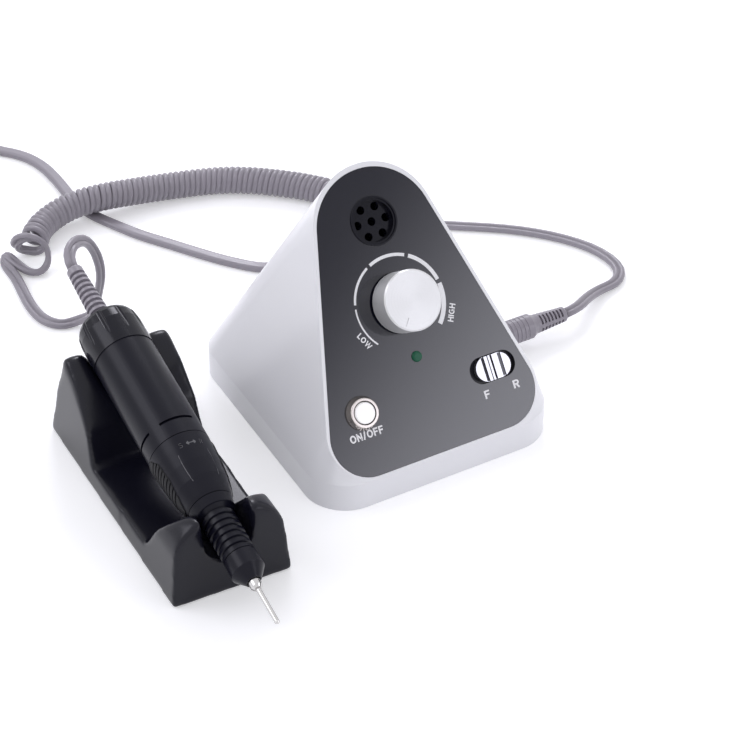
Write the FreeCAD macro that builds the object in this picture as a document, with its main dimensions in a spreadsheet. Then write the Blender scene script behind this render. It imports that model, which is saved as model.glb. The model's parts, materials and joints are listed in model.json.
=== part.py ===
import FreeCAD, Part
import math
import os
import Sketcher
from FreeCAD import Placement, Rotation, Vector

# Nail drill machine: a control unit with a sloping panel, a cradle beside it and a
# handpiece lying in the cradle, joined by a curly cord. Millimetres, +Z up, the
# origin on the table under the middle of the control unit, whose front faces -Y.

doc = FreeCAD.newDocument("nail_drill")
sheet = doc.addObject("Spreadsheet::Sheet", "Sizes")


class Size:
    """A length or angle: its value, and the sheet expression that gives it."""

    def __init__(self, value, text):
        self.value = float(value)
        self.text = text

    def __float__(self):
        return self.value

    def _with(self, other, sign, result):
        second = other.text if isinstance(other, Size) else repr(float(other))
        return Size(result, "(%s %s %s)" % (self.text, sign, second))

    def __add__(self, other):
        return self._with(other, "+", self.value + float(other))

    def __sub__(self, other):
        return self._with(other, "-", self.value - float(other))

    def __mul__(self, other):
        return self._with(other, "*", self.value * float(other))

    def __truediv__(self, other):
        return self._with(other, "/", self.value / float(other))

    def __radd__(self, other):
        return Size(other, repr(float(other))) + self

    def __rsub__(self, other):
        return Size(other, repr(float(other))) - self

    def __rmul__(self, other):
        return Size(other, repr(float(other))) * self

    def __neg__(self):
        return Size(-self.value, "(0 - %s)" % self.text)


def plain(number):
    """A plain number as a length that expressions can take."""
    return Size(number, repr(float(number)))


def sine(angle):
    return Size(math.sin(math.radians(float(angle))), "sin(%s)" % angle.text)


def cosine(angle):
    return Size(math.cos(math.radians(float(angle))), "cos(%s)" % angle.text)


def tangent(angle):
    return Size(math.tan(math.radians(float(angle))), "tan(%s)" % angle.text)


def half_angle_root(slope):
    """(sqrt(1 + slope^2) - slope), the tangent of half the angle to the upright."""
    value = math.sqrt(1 + float(slope) ** 2) - float(slope)
    return Size(value, "(sqrt(1 + %s * %s) - %s)" % (slope.text, slope.text, slope.text))


class Names:
    pass


S = Names()
row = 0


def size(name, value, note=""):
    """Writes one named value into the sheet."""
    global row
    row += 1
    sheet.set("A%d" % row, name)
    sheet.set("B%d" % row, repr(float(value)))
    sheet.set("C%d" % row, note)
    sheet.setAlias("B%d" % row, name)
    setattr(S, name, Size(value, "Sizes." + name))


# Driving sizes
# Control unit housing
size("front_y", 65, "front wall to the unit's middle")
size("rear_y", 65, "rear wall to the unit's middle")
size("front_half", 60.5, "half width of the foot at the front")
size("rear_half", 57, "half width of the foot at the rear")
size("front_round", 20, "front corner radius of the foot")
size("rear_round", 16.5, "rear corner radius of the foot")
size("front_height", 14.8, "top of the front wall, where the slope begins")
size("crease_drop", 0.8, "the foot's upright walls end this far below that")
size("housing_wall", 2.2, "wall thickness")
size("inner_rise", 5, "height where the cavity begins to lean inward")
size("panel_slope", 52.6, "slope of the panel from the table, degrees")
size("panel_length", 132.15, "rim of the sloping face, bottom to top")
size("knob_up", 68.65, "knob's axis above the bottom of the sloping face")
size("panel_low_half", 56.6, "half width of the panel's outline at its lower edge")
size("panel_top_half", 21.6, "half width of the panel's outline at its upper edge")
size("panel_low_round", 17.7, "lower corner radius of the panel")
size("panel_top_flat", 0.27, "half of the short straight top edge")
size("rim_side", 1.7, "rim beside the panel")
size("rim_top", 2.5, "rim above the panel")
size("rim_bottom", 0.5, "rim below the panel")
size("rim_round", 1.1, "rounding of the rim's outer edge")
size("panel_thick", 2, "front panel plate")
size("panel_gap", 0.15, "gap round the plate")
size("ledge_width", 3.5, "ledge that carries the plate")
size("ledge_thick", 2, "thickness of that ledge")
# Base
size("plate_low", 1, "underside of the base plate above the table")
size("plate_thick", 2, "base plate")
size("plate_gap", 0.2, "gap round the base plate")
size("foot_radius", 6, "rubber foot")
size("foot_x", 40, "feet, half of their spacing across")
size("foot_y", 44, "feet, half of their spacing front to rear")
size("screw_shank", 1.5, "base screw, shank radius")
size("screw_head", 2.8, "base screw, head radius")
size("screw_head_thick", 0.8, "base screw, head thickness")
size("screw_depth", 7, "thread above the base plate")
size("boss_radius", 4.2, "screw boss")
size("boss_top", 11, "height of the boss")
size("boss_inset", 3.3, "boss axis inside the inner face of the corner")
# Bit holder
size("holder_up", 37.4, "bit holder's axis above the knob's axis")
size("holder_radius", 11.1, "bit holder's flange")
size("holder_rim", 0.9, "width of its raised rim")
size("holder_height", 0.8, "rim above the panel")
size("holder_step", 0.9, "width of the step inside the rim")
size("holder_shelf", 0.1, "that step above the panel")
size("holder_floor", 2.6, "holed plate below the panel")
size("holder_barrel", 10.3, "barrel radius behind the panel")
size("holder_depth", 15, "barrel length behind the panel")
size("bit_hole", 1.9, "radius of a bit hole")
size("bit_circle", 7, "radius of the circle of bit holes")
size("bit_depth", 11.5, "depth of a bit hole")
# Knob and potentiometer
size("knob_radius", 13.6, "aluminium knob")
size("knob_top", 14.7, "knob's face above the panel")
size("knob_skirt", 1.5, "lower edge of the aluminium above the panel")
size("knob_wall", 1.2, "aluminium wall")
size("knob_bevel", 0.6, "bevel of the face")
size("core_low", 0.5, "lower edge of the knob's core above the panel")
size("shaft_radius", 3, "potentiometer shaft")
size("shaft_top", 11.5, "top of the shaft above the panel")
size("shaft_low", 7.5, "lower end of the shaft below the panel")
size("bushing_radius", 3.5, "threaded bushing")
size("bushing_top", 4.2, "top of the bushing above the panel")
size("shaft_fit", 0.06, "running clearance of the shaft")
size("pot_radius", 8.2, "potentiometer can")
size("pot_depth", 8, "potentiometer can, depth")
size("nut_flats", 10, "nut across its flats")
size("nut_thick", 2, "nut")
size("nut_room", 6.6, "radius of the recess round the nut")
size("pointer_angle", 234, "pointer at its low end, degrees from the panel's right")
size("pointer_width", 0.7, "engraved pointer line")
size("pointer_depth", 0.3, "depth of that line")
size("pointer_start", 8.2, "its inner end")
size("pointer_end", 12, "its outer end")
# Lamp
size("lamp_down", 24.7, "lamp's axis below the knob's axis")
size("lamp_radius", 2.45, "green lamp")
size("lamp_top", 1.1, "lamp's top above the panel")
size("lamp_flange", 3.2, "lamp's flange radius")
size("lamp_flange_thick", 1, "lamp's flange")
size("lamp_holder_radius", 4.2, "lamp holder")
size("lamp_holder_depth", 4, "lamp holder")
# Power button
size("button_x", -33, "button's axis from the middle")
size("button_down", 40.1, "button's axis below the knob's axis")
size("bezel_radius", 7.65, "bezel at the panel")
size("bezel_lip", 0.8, "height of the bezel's foot")
size("bezel_top_radius", 6.5, "bezel at its top")
size("bezel_height", 3.8, "bezel above the panel")
size("bezel_barrel", 6, "bezel's threaded barrel")
size("bezel_depth", 12, "barrel below the panel")
size("cap_radius", 5, "button cap")
size("cap_gap", 0.35, "gap round the cap")
size("cap_top", 4, "cap above the panel")
size("cap_low", 3, "cap's lower face below the panel")
size("cap_stem", 2, "cap's stem radius")
size("cap_stem_low", 14, "stem's lower end below the panel")
size("button_body_depth", 9, "switch body behind the barrel")
size("button_travel", 2, "travel of the cap")
# Direction switch
size("slide_x", 33.5, "direction switch from the middle")
size("slide_down", 40.3, "direction switch below the knob's axis")
size("slot_length", 22.9, "opening in the panel")
size("slot_width", 12, "opening in the panel")
size("slide_length", 17.3, "sliding cap")
size("slide_width", 11.2, "sliding cap")
size("slide_top", 1.1, "cap above the panel")
size("slide_lift", 0.3, "cap above the frame")
size("slide_travel", 2.4, "travel to either side")
size("slide_stem_x", 4, "stem along the slot")
size("slide_stem_y", 2.4, "stem across the slot")
size("slide_stem_low", 7.2, "stem's end below the panel")
size("groove_depth", 0.7, "grip grooves")
size("frame_margin", 3, "frame beyond the opening")
size("frame_thick", 1.2, "frame")
size("slide_body_length", 22.6, "switch body")
size("slide_body_width", 9, "switch body")
size("slide_body_depth", 8, "switch body")
# Inside
size("board_z", 9, "underside of the control board")
size("board_length", 72, "control board across")
size("board_width", 34, "control board front to rear")
size("board_thick", 1.6, "control board")
size("board_y", -36, "middle of the control board")
size("pillar_radius", 2.6, "board pillars")
size("pillar_inset", 4, "pillars from the board's edges")
size("core_width", 48, "transformer core")
size("core_height", 40, "transformer core")
size("core_depth", 18, "transformer core")
size("core_y", 26, "transformer's middle")
size("window_width", 8, "transformer window")
size("window_height", 24, "transformer window")
size("leg_width", 16, "transformer's middle leg")
size("winding_out", 7.4, "thickness of the winding")
size("winding_gap", 0.3, "winding's clearance")
size("bracket_thick", 1.5, "bracket")
size("bracket_length", 72, "bracket")
# Socket and gland
size("socket_z", 9.6, "axis of the socket above the table")
size("socket_bore", 1.8, "radius of the socket's bore")
size("socket_bushing", 3, "bushing radius")
size("socket_body", 4.6, "socket body")
size("socket_depth", 14, "socket body inside the wall")
size("socket_ring", 4.7, "ring outside the wall")
size("socket_ring_thick", 1.4, "ring outside the wall")
size("gland_x", 18, "mains gland from the middle")
size("gland_z", 8, "mains gland above the table")
size("gland_bushing", 4, "gland through the wall")
size("gland_flange", 5.6, "gland flange")
size("gland_clip", 0.7, "gland's clip inside the wall, beyond its bushing")
size("seat_gap", 0.15, "gap behind what seats on the slanting side wall")
size("gland_flange_thick", 1.5, "gland flange")
size("gland_length", 26, "strain relief outside the wall")
size("gland_root", 4.9, "strain relief at its root")
size("gland_tip", 3.7, "strain relief at its tip")
# Cradle
size("cradle_x", -115.1, "middle of the cradle's front face")
size("cradle_y", -82.9, "middle of the cradle's front face")
size("cradle_turn", 2.35, "cradle turned clockwise, degrees")
size("cradle_length", 135.4, "cradle front to rear")
size("cradle_half", 27.7, "half width at the table")
size("cradle_lean", 3.6, "lean of each side over the front block's height")
size("deck_z", 11.3, "low deck between the blocks")
size("front_top", 40.0, "top of the front block")
size("front_lean", 2, "front face leans back by this")
size("front_back", 31.5, "where the front block meets the deck")
size("front_shoulder", 17, "shoulder radius of the front block")
size("rear_top", 52, "top of the rear horns")
size("rear_front", 87, "where the rear block begins")
size("rear_lean", 15, "rear face leans forward by this")
size("rear_horn_half", 25, "outer side of the rear horns at the top")
size("cradle_wall", 2.4, "wall of the cradle's moulding")
size("cradle_plate", 2, "cradle's base plate")
size("notch_radius", 11.1, "front notch")
size("saddle_gap", 0.3, "gap between the rear saddle and the end cap")
size("channel_gap", 0.9, "gap between the notch and the twist sleeve")
size("cradle_foot", 4.5, "cradle foot radius")
# Handpiece
size("tilt", 12.7, "handpiece rises to the rear, degrees")
size("axis_side", 0.4, "handpiece's axis left of the cradle's middle")
size("axis_yaw", 0.4, "handpiece turned in its channel, degrees")
size("axis_front", 27.5, "handpiece's axis above the table at the cradle's front")
size("nose_out", 22.1, "nose in front of the cradle")
size("cone_radius", 3.55, "nose opening")
size("cone_length", 5.3, "nose cone")
size("ring_radius", 7.5, "nose ring")
size("cap_end", 13.0, "rear end of the nose cap")
size("grip_radius", 7.3, "ribbed grip at its front")
size("grip_end_radius", 7.5, "ribbed grip at its rear")
size("grip_end", 35.7, "end of the ribs")
size("rib_count", 7, "ribs")
size("rib_depth", 0.8, "depth between ribs")
size("sleeve_start", 41.9, "front of the twist sleeve")
size("sleeve_front", 10.2, "radius there")
size("sleeve_end", 73.1, "rear of the twist sleeve")
size("body_radius", 14.1, "body tube")
size("cap_radius_rear", 14.45, "end cap, a little wider than the tube")
size("body_end", 130.4, "rear of the body tube")
size("seam", 0.35, "gap at the turning seams")
size("tube_wall", 1.6, "wall of the body tube")
size("hub_radius", 6.2, "hub under the twist sleeve")
size("hub_fit", 0.08, "running clearance of the sleeve")
size("slot_station", 81.2, "vent slots")
size("vent_width", 1.3, "vent slots")
size("vent_span", 66, "vent slots, degrees")
size("vent_phase", 96, "middle of the first vent slot, degrees")
size("tail_end", 152.2, "rear face of the end cap")
size("tail_radius", 10.2, "end cap at its rear face")
size("flute_radius", 1.9, "flutes of the end cap")
size("flute_depth", 1.5, "depth of the flutes at the rear")
size("flute_start", 136, "front end of the flutes")
size("flute_phase", 33, "first flute, degrees")
size("boot_end", 186.9, "rear end of the cord boot")
size("boot_root", 4.85, "cord boot at the cap")
size("boot_tip", 3.75, "cord boot at its end")
size("boot_ribs", 10, "ribs of the boot")
size("collet_radius", 2.7, "collet")
size("collet_out", 4.1, "collet in front of the nose")
size("spindle_radius", 2.5, "spindle shaft")
size("spindle_end", 124.4, "rear end of the spindle")
size("bearing_radius", 5.2, "ball bearings")
size("bearing_width", 5, "ball bearings")
size("bit_radius", 1.175, "drill bit shank")
size("bit_out", 22.7, "bit's tip in front of the nose")
size("bit_in", 22, "bit's rear end inside the collet")
size("bit_fit", 0.04, "clearance of the shank in the collet")
size("grip_pad", 0.45, "grip pads stand out by this")
size("grip_half", 8, "half width of a grip pad")
size("grip_low", 12, "grip pads below the handpiece's sides, degrees")
size("grip_bars", 9, "grooves across a grip pad")
size("rotor_radius", 7.5, "rotor")
# Cords
size("lead_radius", 1.8, "leads of the handpiece's cord")
size("curl_wire", 2.3, "wire of the curls, diameter")
size("curl_radius", 5.75, "curls, radius to the wire's middle")
size("curl_gap", 0.75, "least gap between curls on the inside of a bend")
size("mains_width", 6.1, "flat mains cord")
size("mains_thick", 3.6, "flat mains cord")
size("ring_out", 40, "mains coil, outermost turn")
size("ring_step", 6.8, "mains coil, step from turn to turn")
size("ring_wire", 5, "mains coil's cord as a round of the same section")
size("ring_turns", 3, "turns in each of two layers")
size("plug_barrel", 6, "low voltage plug's barrel")
size("plug_long", 25.5, "its length")
size("plug_rings", 9, "fine rings round the barrel")
size("plug_shoulder", 4.7, "slotted relief at the barrel, radius")
size("plug_tail", 3.6, "slotted relief at its end, radius")
size("relief_slots", 7, "slots in each row")
size("relief_width", 1.05, "width of a slot")
size("plug_tail_long", 18, "its length")
size("plug_pin", 1.7, "its pin, radius")
size("plug_pin_long", 12, "its pin, length")
size("mains_plug_wide", 35, "mains plug")
size("mains_plug_thick", 13.5, "mains plug")
size("mains_plug_long", 38, "mains plug")
size("mains_pin", 2, "mains pins, radius")
size("mains_pin_long", 19, "mains pins, length")
size("mains_pin_pitch", 19, "mains pins, spacing")

doc.recompute()


# Modelling
def bind(thing, path, amount):
    """Ties a property to the sheet; a plain number is simply set."""
    if isinstance(amount, Size):
        thing.setExpression(path, amount.text)
    elif "." not in path and "[" not in path:
        setattr(thing, path, float(amount))


def new_body(label):
    body = doc.addObject("PartDesign::Body", label)
    body.Label = label
    return body


def origin_part(body, role):
    for feature in body.Origin.OriginFeatures:
        if feature.Role == role:
            return feature
    raise ValueError("no " + role)


def sketch_on(body, name, role="XY_Plane", lift=None, offset=None):
    """A sketch on one of the body's own origin planes, raised by lift if given."""
    sketch = body.newObject("Sketcher::SketchObject", name)
    sketch.AttachmentSupport = [(origin_part(body, role), "")]
    sketch.MapMode = "FlatFace"
    if offset is not None:
        sketch.AttachmentOffset = offset
    if lift is not None:
        sketch.AttachmentOffset = Placement(Vector(0, 0, float(lift)), Rotation())
        bind(sketch, "AttachmentOffset.Base.z", lift)
    return sketch


def hold(sketch, kind, where, amount):
    """Adds a dimension with one or more references and ties it to the sheet."""
    index = sketch.addConstraint(Sketcher.Constraint(kind, *where, float(amount)))
    if isinstance(amount, Size):
        sketch.setExpression("Constraints[%d]" % index, amount.text)


def pin(sketch, shape, end, x, y):
    """Fixes a point of a sketch element at x, y."""
    hold(sketch, "DistanceX", (shape, end), x)
    hold(sketch, "DistanceY", (shape, end), y)


def polygon(sketch, points):
    """Closed outline of straight lines, every corner dimensioned."""
    spots = [Vector(float(x), float(y), 0) for x, y in points]
    count = len(points)
    first = sketch.GeometryCount
    for i in range(count):
        sketch.addGeometry(Part.LineSegment(spots[i], spots[(i + 1) % count]), False)
    for i in range(count):
        follower = first + (i + 1) % count
        sketch.addConstraint(Sketcher.Constraint("Coincident", first + i, 2, follower, 1))
    for i, (x, y) in enumerate(points):
        pin(sketch, first + i, 1, x, y)


def circle(sketch, x, y, radius):
    spot = Vector(float(x), float(y), 0)
    number = sketch.addGeometry(Part.Circle(spot, Vector(0, 0, 1), float(radius)), False)
    pin(sketch, number, 3, x, y)
    hold(sketch, "Radius", (number,), radius)


def rounded(sketch, corners):
    """Closed outline with rounded corners, each (x, y, radius) of the sharp outline."""
    count = len(corners)
    spots = [Vector(float(c[0]), float(c[1]), 0) for c in corners]
    first = sketch.GeometryCount
    for i in range(count):
        sketch.addGeometry(Part.LineSegment(spots[i], spots[(i + 1) % count]), True)
    for i in range(count):
        follower = first + (i + 1) % count
        sketch.addConstraint(Sketcher.Constraint("Coincident", first + i, 2, follower, 1))
        pin(sketch, first + i, 1, corners[i][0], corners[i][1])
    starts, ends, arcs = [], [], []
    for i in range(count):
        before = (spots[i] - spots[i - 1]).normalize()
        after = (spots[(i + 1) % count] - spots[i]).normalize()
        turn = math.atan2(before.x * after.y - before.y * after.x, before.dot(after))
        reach = float(corners[i][2]) * math.tan(abs(turn) / 2)
        enter = spots[i] - before * reach
        leave = spots[i] + after * reach
        side = 1 if turn > 0 else -1
        inward = Vector(-before.y, before.x, 0) * side
        middle = enter + inward * float(corners[i][2])
        spread = (spots[i] - middle).normalize() * float(corners[i][2])
        arcs.append(Part.Arc(enter, middle + spread, leave))
        ends.append(enter)
        starts.append(leave)
    lines = []
    bends = []
    for i in range(count):
        follower = (i + 1) % count
        edge = Part.LineSegment(starts[i], ends[follower])
        lines.append(sketch.addGeometry(edge, False))
        bends.append(sketch.addGeometry(arcs[follower], False))
    for i in range(count):
        follower = (i + 1) % count
        turned = _turn_of(spots, follower)
        head, tail = (1, 2) if turned > 0 else (2, 1)
        for end in (1, 2):
            sketch.addConstraint(
                Sketcher.Constraint("PointOnObject", lines[i], end, first + i))
        sketch.addConstraint(Sketcher.Constraint("Tangent", lines[i], 2, bends[i], head))
        sketch.addConstraint(
            Sketcher.Constraint("Tangent", bends[i], tail, lines[follower], 1))
        hold(sketch, "Radius", (bends[i],), corners[follower][2])


def _turn_of(spots, i):
    count = len(spots)
    before = spots[i] - spots[i - 1]
    after = spots[(i + 1) % count] - spots[i]
    return before.x * after.y - before.y * after.x


def pad(body, name, sketch, length, both=False, back=False):
    feature = body.newObject("PartDesign::Pad", name)
    feature.Profile = sketch
    bind(feature, "Length", length)
    if both:
        feature.SideType = "Symmetric"
    feature.Reversed = back
    sketch.Visibility = False
    return feature


def cut(body, name, sketch, depth, back=False, both=False):
    """Pocket; back turns it to the side that the sketch's normal points to."""
    doc.recompute()
    before = body.Shape.Volume
    feature = body.newObject("PartDesign::Pocket", name)
    feature.Profile = sketch
    bind(feature, "Length", depth)
    if both:
        feature.SideType = "Symmetric"
    feature.Reversed = back
    doc.recompute()
    if not body.Shape.Volume < before - 1e-6:
        raise ValueError(name + " cuts nothing")
    return feature


def turned(body, name, points):
    """Revolution about the body's Z axis of an outline of (radius, height) points."""
    sketch = sketch_on(body, name + "_outline", "XZ_Plane")
    polygon(sketch, points)
    feature = body.newObject("PartDesign::Revolution", name)
    feature.Profile = sketch
    feature.ReferenceAxis = (sketch, ["V_Axis"])
    feature.Angle = 360
    return feature


def lathe(label, points):
    body = new_body(label)
    turned(body, label + "_turned", points)
    return body


def groove(body, name, points):
    """Groove about the body's Z axis; the volume shows that it cuts."""
    doc.recompute()
    before = body.Shape.Volume
    sketch = sketch_on(body, name + "_outline", "XZ_Plane")
    polygon(sketch, points)
    feature = body.newObject("PartDesign::Groove", name)
    feature.Profile = sketch
    feature.ReferenceAxis = (sketch, ["V_Axis"])
    feature.Angle = 360
    doc.recompute()
    if not body.Shape.Volume < before - 1e-6:
        raise ValueError(name + " cuts nothing")
    return feature


def repeat_round(body, name, feature, count):
    pattern = body.newObject("PartDesign::PolarPattern", name)
    pattern.Originals = [feature]
    pattern.Axis = (origin_part(body, "Z_Axis"), [""])
    pattern.Angle = 360
    pattern.Occurrences = int(round(float(count)))
    body.Tip = pattern
    return pattern


def soften(body, name, radius, spots, reach=0.05):
    """Fillet of the round edges whose (radius, height) are listed."""
    doc.recompute()
    chosen = []
    for number, edge in enumerate(body.Shape.Edges):
        curve = edge.Curve
        if not isinstance(curve, Part.Circle):
            continue
        for wide, high in spots:
            near = abs(curve.Radius - float(wide)) < reach
            if near and abs(curve.Center.z - float(high)) < reach:
                if math.hypot(curve.Center.x, curve.Center.y) < reach:
                    chosen.append("Edge%d" % (number + 1))
    if not chosen:
        raise ValueError(name + " finds no edge")
    base = body.Tip
    feature = body.newObject("PartDesign::Fillet", name)
    feature.Base = (base, chosen)
    bind(feature, "Radius", radius)
    doc.recompute()
    return feature


# Frames of the sloping panel, the side walls and the handpiece
slope = S.panel_slope
panel_turn = Rotation(Vector(1, 0, 0), float(slope))
knob_spot = Vector(
    0,
    float(S.knob_up * cosine(slope) - S.front_y),
    float(S.front_height + S.knob_up * sine(slope)))


def on_panel(thing, across=0, up=0, out=0):
    shift = panel_turn.multVec(Vector(float(across), float(up), float(out)))
    thing.Placement = Placement(knob_spot + shift, panel_turn)


cradle_turn = Rotation(Vector(0, 0, 1), -float(S.cradle_turn))
cradle_spot = Vector(float(S.cradle_x), float(S.cradle_y), 0)
cradle_place = Placement(cradle_spot, cradle_turn)
lean = math.radians(float(S.tilt))
yaw = Rotation(Vector(0, 0, 1), float(S.axis_yaw))
lying_across = yaw.multVec(Vector(-1, 0, 0))
lying_along = yaw.multVec(Vector(0, math.cos(lean), math.sin(lean)))
lying_up = lying_along.cross(lying_across)
# The handpiece's frame within the cradle: Z along it to the rear, X to its left, Y up
lying = Placement(
    Vector(-float(S.axis_side), -float(S.nose_out),
           float(S.axis_front - S.nose_out * tangent(S.tilt))),
    Rotation(lying_across, lying_up, lying_along, "ZXY"))
hand_place = cradle_place.multiply(lying)
hand_turn = hand_place.Rotation
nose_spot = hand_place.Base
hand_along = hand_turn.multVec(Vector(0, 0, 1))


def on_handpiece(thing):
    thing.Placement = Placement(nose_spot, hand_turn)


# The housing
panel_low = S.rim_bottom - S.knob_up
panel_high = S.panel_length - S.knob_up - S.rim_top
side_slope = (S.panel_low_half - S.panel_top_half) / (panel_high - panel_low)
half_turn = half_angle_root(side_slope)
side_stretch = half_turn + side_slope


def panel_outline(sketch, sides, top, bottom):
    """The panel's outline, grown by these amounts at its sides, top and bottom."""
    low = panel_low - bottom
    high = panel_high + top
    low_half = S.panel_low_half + side_stretch * sides + side_slope * bottom
    top_half = S.panel_top_half + side_stretch * sides - side_slope * top
    top_round = (top_half - S.panel_top_flat) / half_turn
    low_round = S.panel_low_round + sides
    rounded(sketch, [
        (-low_half, low, low_round), (low_half, low, low_round),
        (top_half, high, top_round), (-top_half, high, top_round)])


def foot_outline(sketch, inset):
    """The foot's outline, drawn in by inset."""
    front = S.front_half - inset
    rear = S.rear_half - inset
    rounded(sketch, [
        (-front, inset - S.front_y, S.front_round - inset),
        (front, inset - S.front_y, S.front_round - inset),
        (rear, S.rear_y - inset, S.rear_round - inset),
        (-rear, S.rear_y - inset, S.rear_round - inset)])


def slope_offset(out):
    shift = panel_turn.multVec(Vector(0, 0, float(out)))
    return Placement(knob_spot + shift, panel_turn)


def boss_spots():
    """Screw places, one in each corner of the foot."""
    spots = []
    for left in (-1, 1):
        for half, edge, radius, sign in (
                (S.front_half, S.front_y, S.front_round, -1),
                (S.rear_half, S.rear_y, S.rear_round, 1)):
            reach = radius - S.housing_wall - S.boss_inset
            x = (half - radius + reach * math.sqrt(0.5)) * left
            y = (edge - radius + reach * math.sqrt(0.5)) * sign
            spots.append((x, y))
    return spots


def make_housing():
    body = new_body("housing_shell")
    crease = S.front_height - S.crease_drop
    foot = sketch_on(body, "foot_outline")
    foot_outline(foot, Size(0, "0"))
    pad(body, "foot", foot, crease)
    low = sketch_on(body, "crease_outline", lift=crease)
    foot_outline(low, Size(0, "0"))
    rim = sketch_on(body, "rim_outline", offset=slope_offset(0))
    panel_outline(rim, S.rim_side, S.rim_top, S.rim_bottom)
    doc.recompute()
    upper = body.newObject("PartDesign::AdditiveLoft", "upper")
    upper.Profile = low
    upper.Sections = [rim]
    upper.Ruled = True
    doc.recompute()
    cavity = sketch_on(body, "cavity_outline")
    foot_outline(cavity, S.housing_wall)
    cut(body, "cavity_low", cavity, S.inner_rise, back=True)
    inner_low = sketch_on(body, "inner_low", lift=S.inner_rise)
    foot_outline(inner_low, S.housing_wall)
    under = S.panel_thick + S.ledge_thick
    inner_high = sketch_on(body, "inner_high", offset=slope_offset(-float(under)))
    panel_outline(inner_high, -S.ledge_width, -S.ledge_width, -S.ledge_width)
    doc.recompute()
    before = body.Shape.Volume
    hollow = body.newObject("PartDesign::SubtractiveLoft", "cavity_high")
    hollow.Profile = inner_low
    hollow.Sections = [inner_high]
    hollow.Ruled = True
    doc.recompute()
    if not body.Shape.Volume < before:
        raise ValueError("the cavity cuts nothing")
    seat = sketch_on(body, "seat_outline", offset=slope_offset(0))
    panel_outline(seat, S.panel_gap, S.panel_gap, S.panel_gap)
    cut(body, "panel_seat", seat, S.panel_thick)
    window = sketch_on(body, "window_outline", offset=slope_offset(-float(S.panel_thick)))
    panel_outline(window, -S.ledge_width, -S.ledge_width, -S.ledge_width)
    cut(body, "panel_window", window, S.ledge_thick + 1)
    bosses = sketch_on(body, "boss_outline", lift=S.plate_low + S.plate_thick)
    for x, y in boss_spots():
        circle(bosses, x, y, S.boss_radius)
    pad(body, "bosses", bosses, S.boss_top - S.plate_low - S.plate_thick)
    threads = sketch_on(body, "thread_outline", lift=S.plate_low + S.plate_thick)
    for x, y in boss_spots():
        circle(threads, x, y, S.screw_shank)
    cut(body, "threads", threads, S.screw_depth + 0.4, back=True)
    socket = sketch_on(body, "socket_hole", "YZ_Plane")
    circle(socket, 0, S.socket_z, S.socket_bushing)
    cut(body, "socket_opening", socket, S.front_half, back=True)
    gland = sketch_on(body, "gland_hole", "XZ_Plane")
    circle(gland, S.gland_x, S.gland_z, S.gland_bushing)
    cut(body, "gland_opening", gland, S.rear_y + 1)
    # Flat seats inside the leaning walls for what is clamped behind them
    seat = S.seat_gap
    socket_seat = sketch_on(body, "socket_seat_outline", "YZ_Plane",
                            lift=side_wall() - S.housing_wall - seat)
    circle(socket_seat, 0, S.socket_z, S.socket_body + seat)
    cut(body, "socket_seat", socket_seat, S.socket_depth)
    gland_seat = sketch_on(body, "gland_seat_outline", "XZ_Plane",
                           lift=S.housing_wall - S.rear_y)
    circle(gland_seat, S.gland_x, S.gland_z, S.gland_bushing + S.gland_clip + seat)
    cut(body, "gland_seat", gland_seat, S.socket_depth, back=True)
    # The direction switch reaches under the ledge at the panel's side
    switch_seat = sketch_on(body, "switch_seat_outline",
                            offset=slope_offset(-float(S.panel_thick)))
    reach = S.frame_margin + seat * 2
    stadium(switch_seat, S.slide_x, -S.slide_down, S.slot_length + reach, S.slot_width + reach)
    cut(body, "switch_seat", switch_seat, S.frame_thick + S.slide_body_depth + seat)
    return body


def side_wall():
    """Where the slanting side wall lies at the middle of the unit."""
    return (S.front_half * S.rear_y + S.rear_half * S.front_y) / (S.front_y + S.rear_y)


def make_base():
    plate = new_body("base_plate")
    outline = sketch_on(plate, "plate_outline", lift=S.plate_low)
    foot_outline(outline, S.housing_wall + S.plate_gap)
    pad(plate, "plate", outline, S.plate_thick)
    holes = sketch_on(plate, "plate_holes", lift=S.plate_low)
    for x, y in boss_spots():
        circle(holes, x, y, S.screw_shank + 0.1)
    cut(plate, "plate_screw_holes", holes, S.plate_thick, back=True)
    feet = new_body("unit_feet")
    rounds = sketch_on(feet, "feet_outline")
    for left in (-1, 1):
        for rear in (-1, 1):
            circle(rounds, S.foot_x * left, S.foot_y * rear, S.foot_radius)
    feet.AllowCompound = True
    pad(feet, "feet", rounds, S.plate_low)
    screws = new_body("base_screws")
    screws.AllowCompound = True
    heads = sketch_on(screws, "head_outline", lift=S.plate_low - S.screw_head_thick)
    shanks = sketch_on(screws, "shank_outline", lift=S.plate_low - 0.01)
    for x, y in boss_spots():
        circle(heads, x, y, S.screw_head)
        circle(shanks, x, y, S.screw_shank)
    pad(screws, "heads", heads, S.screw_head_thick)
    pad(screws, "shanks", shanks, S.plate_thick + S.screw_depth)


def make_panel():
    body = new_body("front_panel")
    outline = sketch_on(body, "front_outline")
    panel_outline(outline, Size(0, "0"), Size(0, "0"), Size(0, "0"))
    pad(body, "front_plate", outline, S.panel_thick, back=True)
    holes = sketch_on(body, "front_holes")
    circle(holes, 0, 0, S.bushing_radius)
    circle(holes, 0, S.holder_up, S.holder_barrel + 0.1)
    circle(holes, 0, -S.lamp_down, S.lamp_radius + 0.05)
    circle(holes, S.button_x, -S.button_down, S.bezel_barrel)
    stadium(holes, S.slide_x, -S.slide_down, S.slot_length, S.slot_width)
    cut(body, "front_openings", holes, S.panel_thick)
    on_panel(body)


def stadium(sketch, x, y, length, width):
    """A slot with round ends."""
    half = length / 2
    tall = width / 2
    rounded(sketch, [
        (x - half, y - tall, tall * 0.99), (x + half, y - tall, tall * 0.99),
        (x + half, y + tall, tall * 0.99), (x - half, y + tall, tall * 0.99)])


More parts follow.
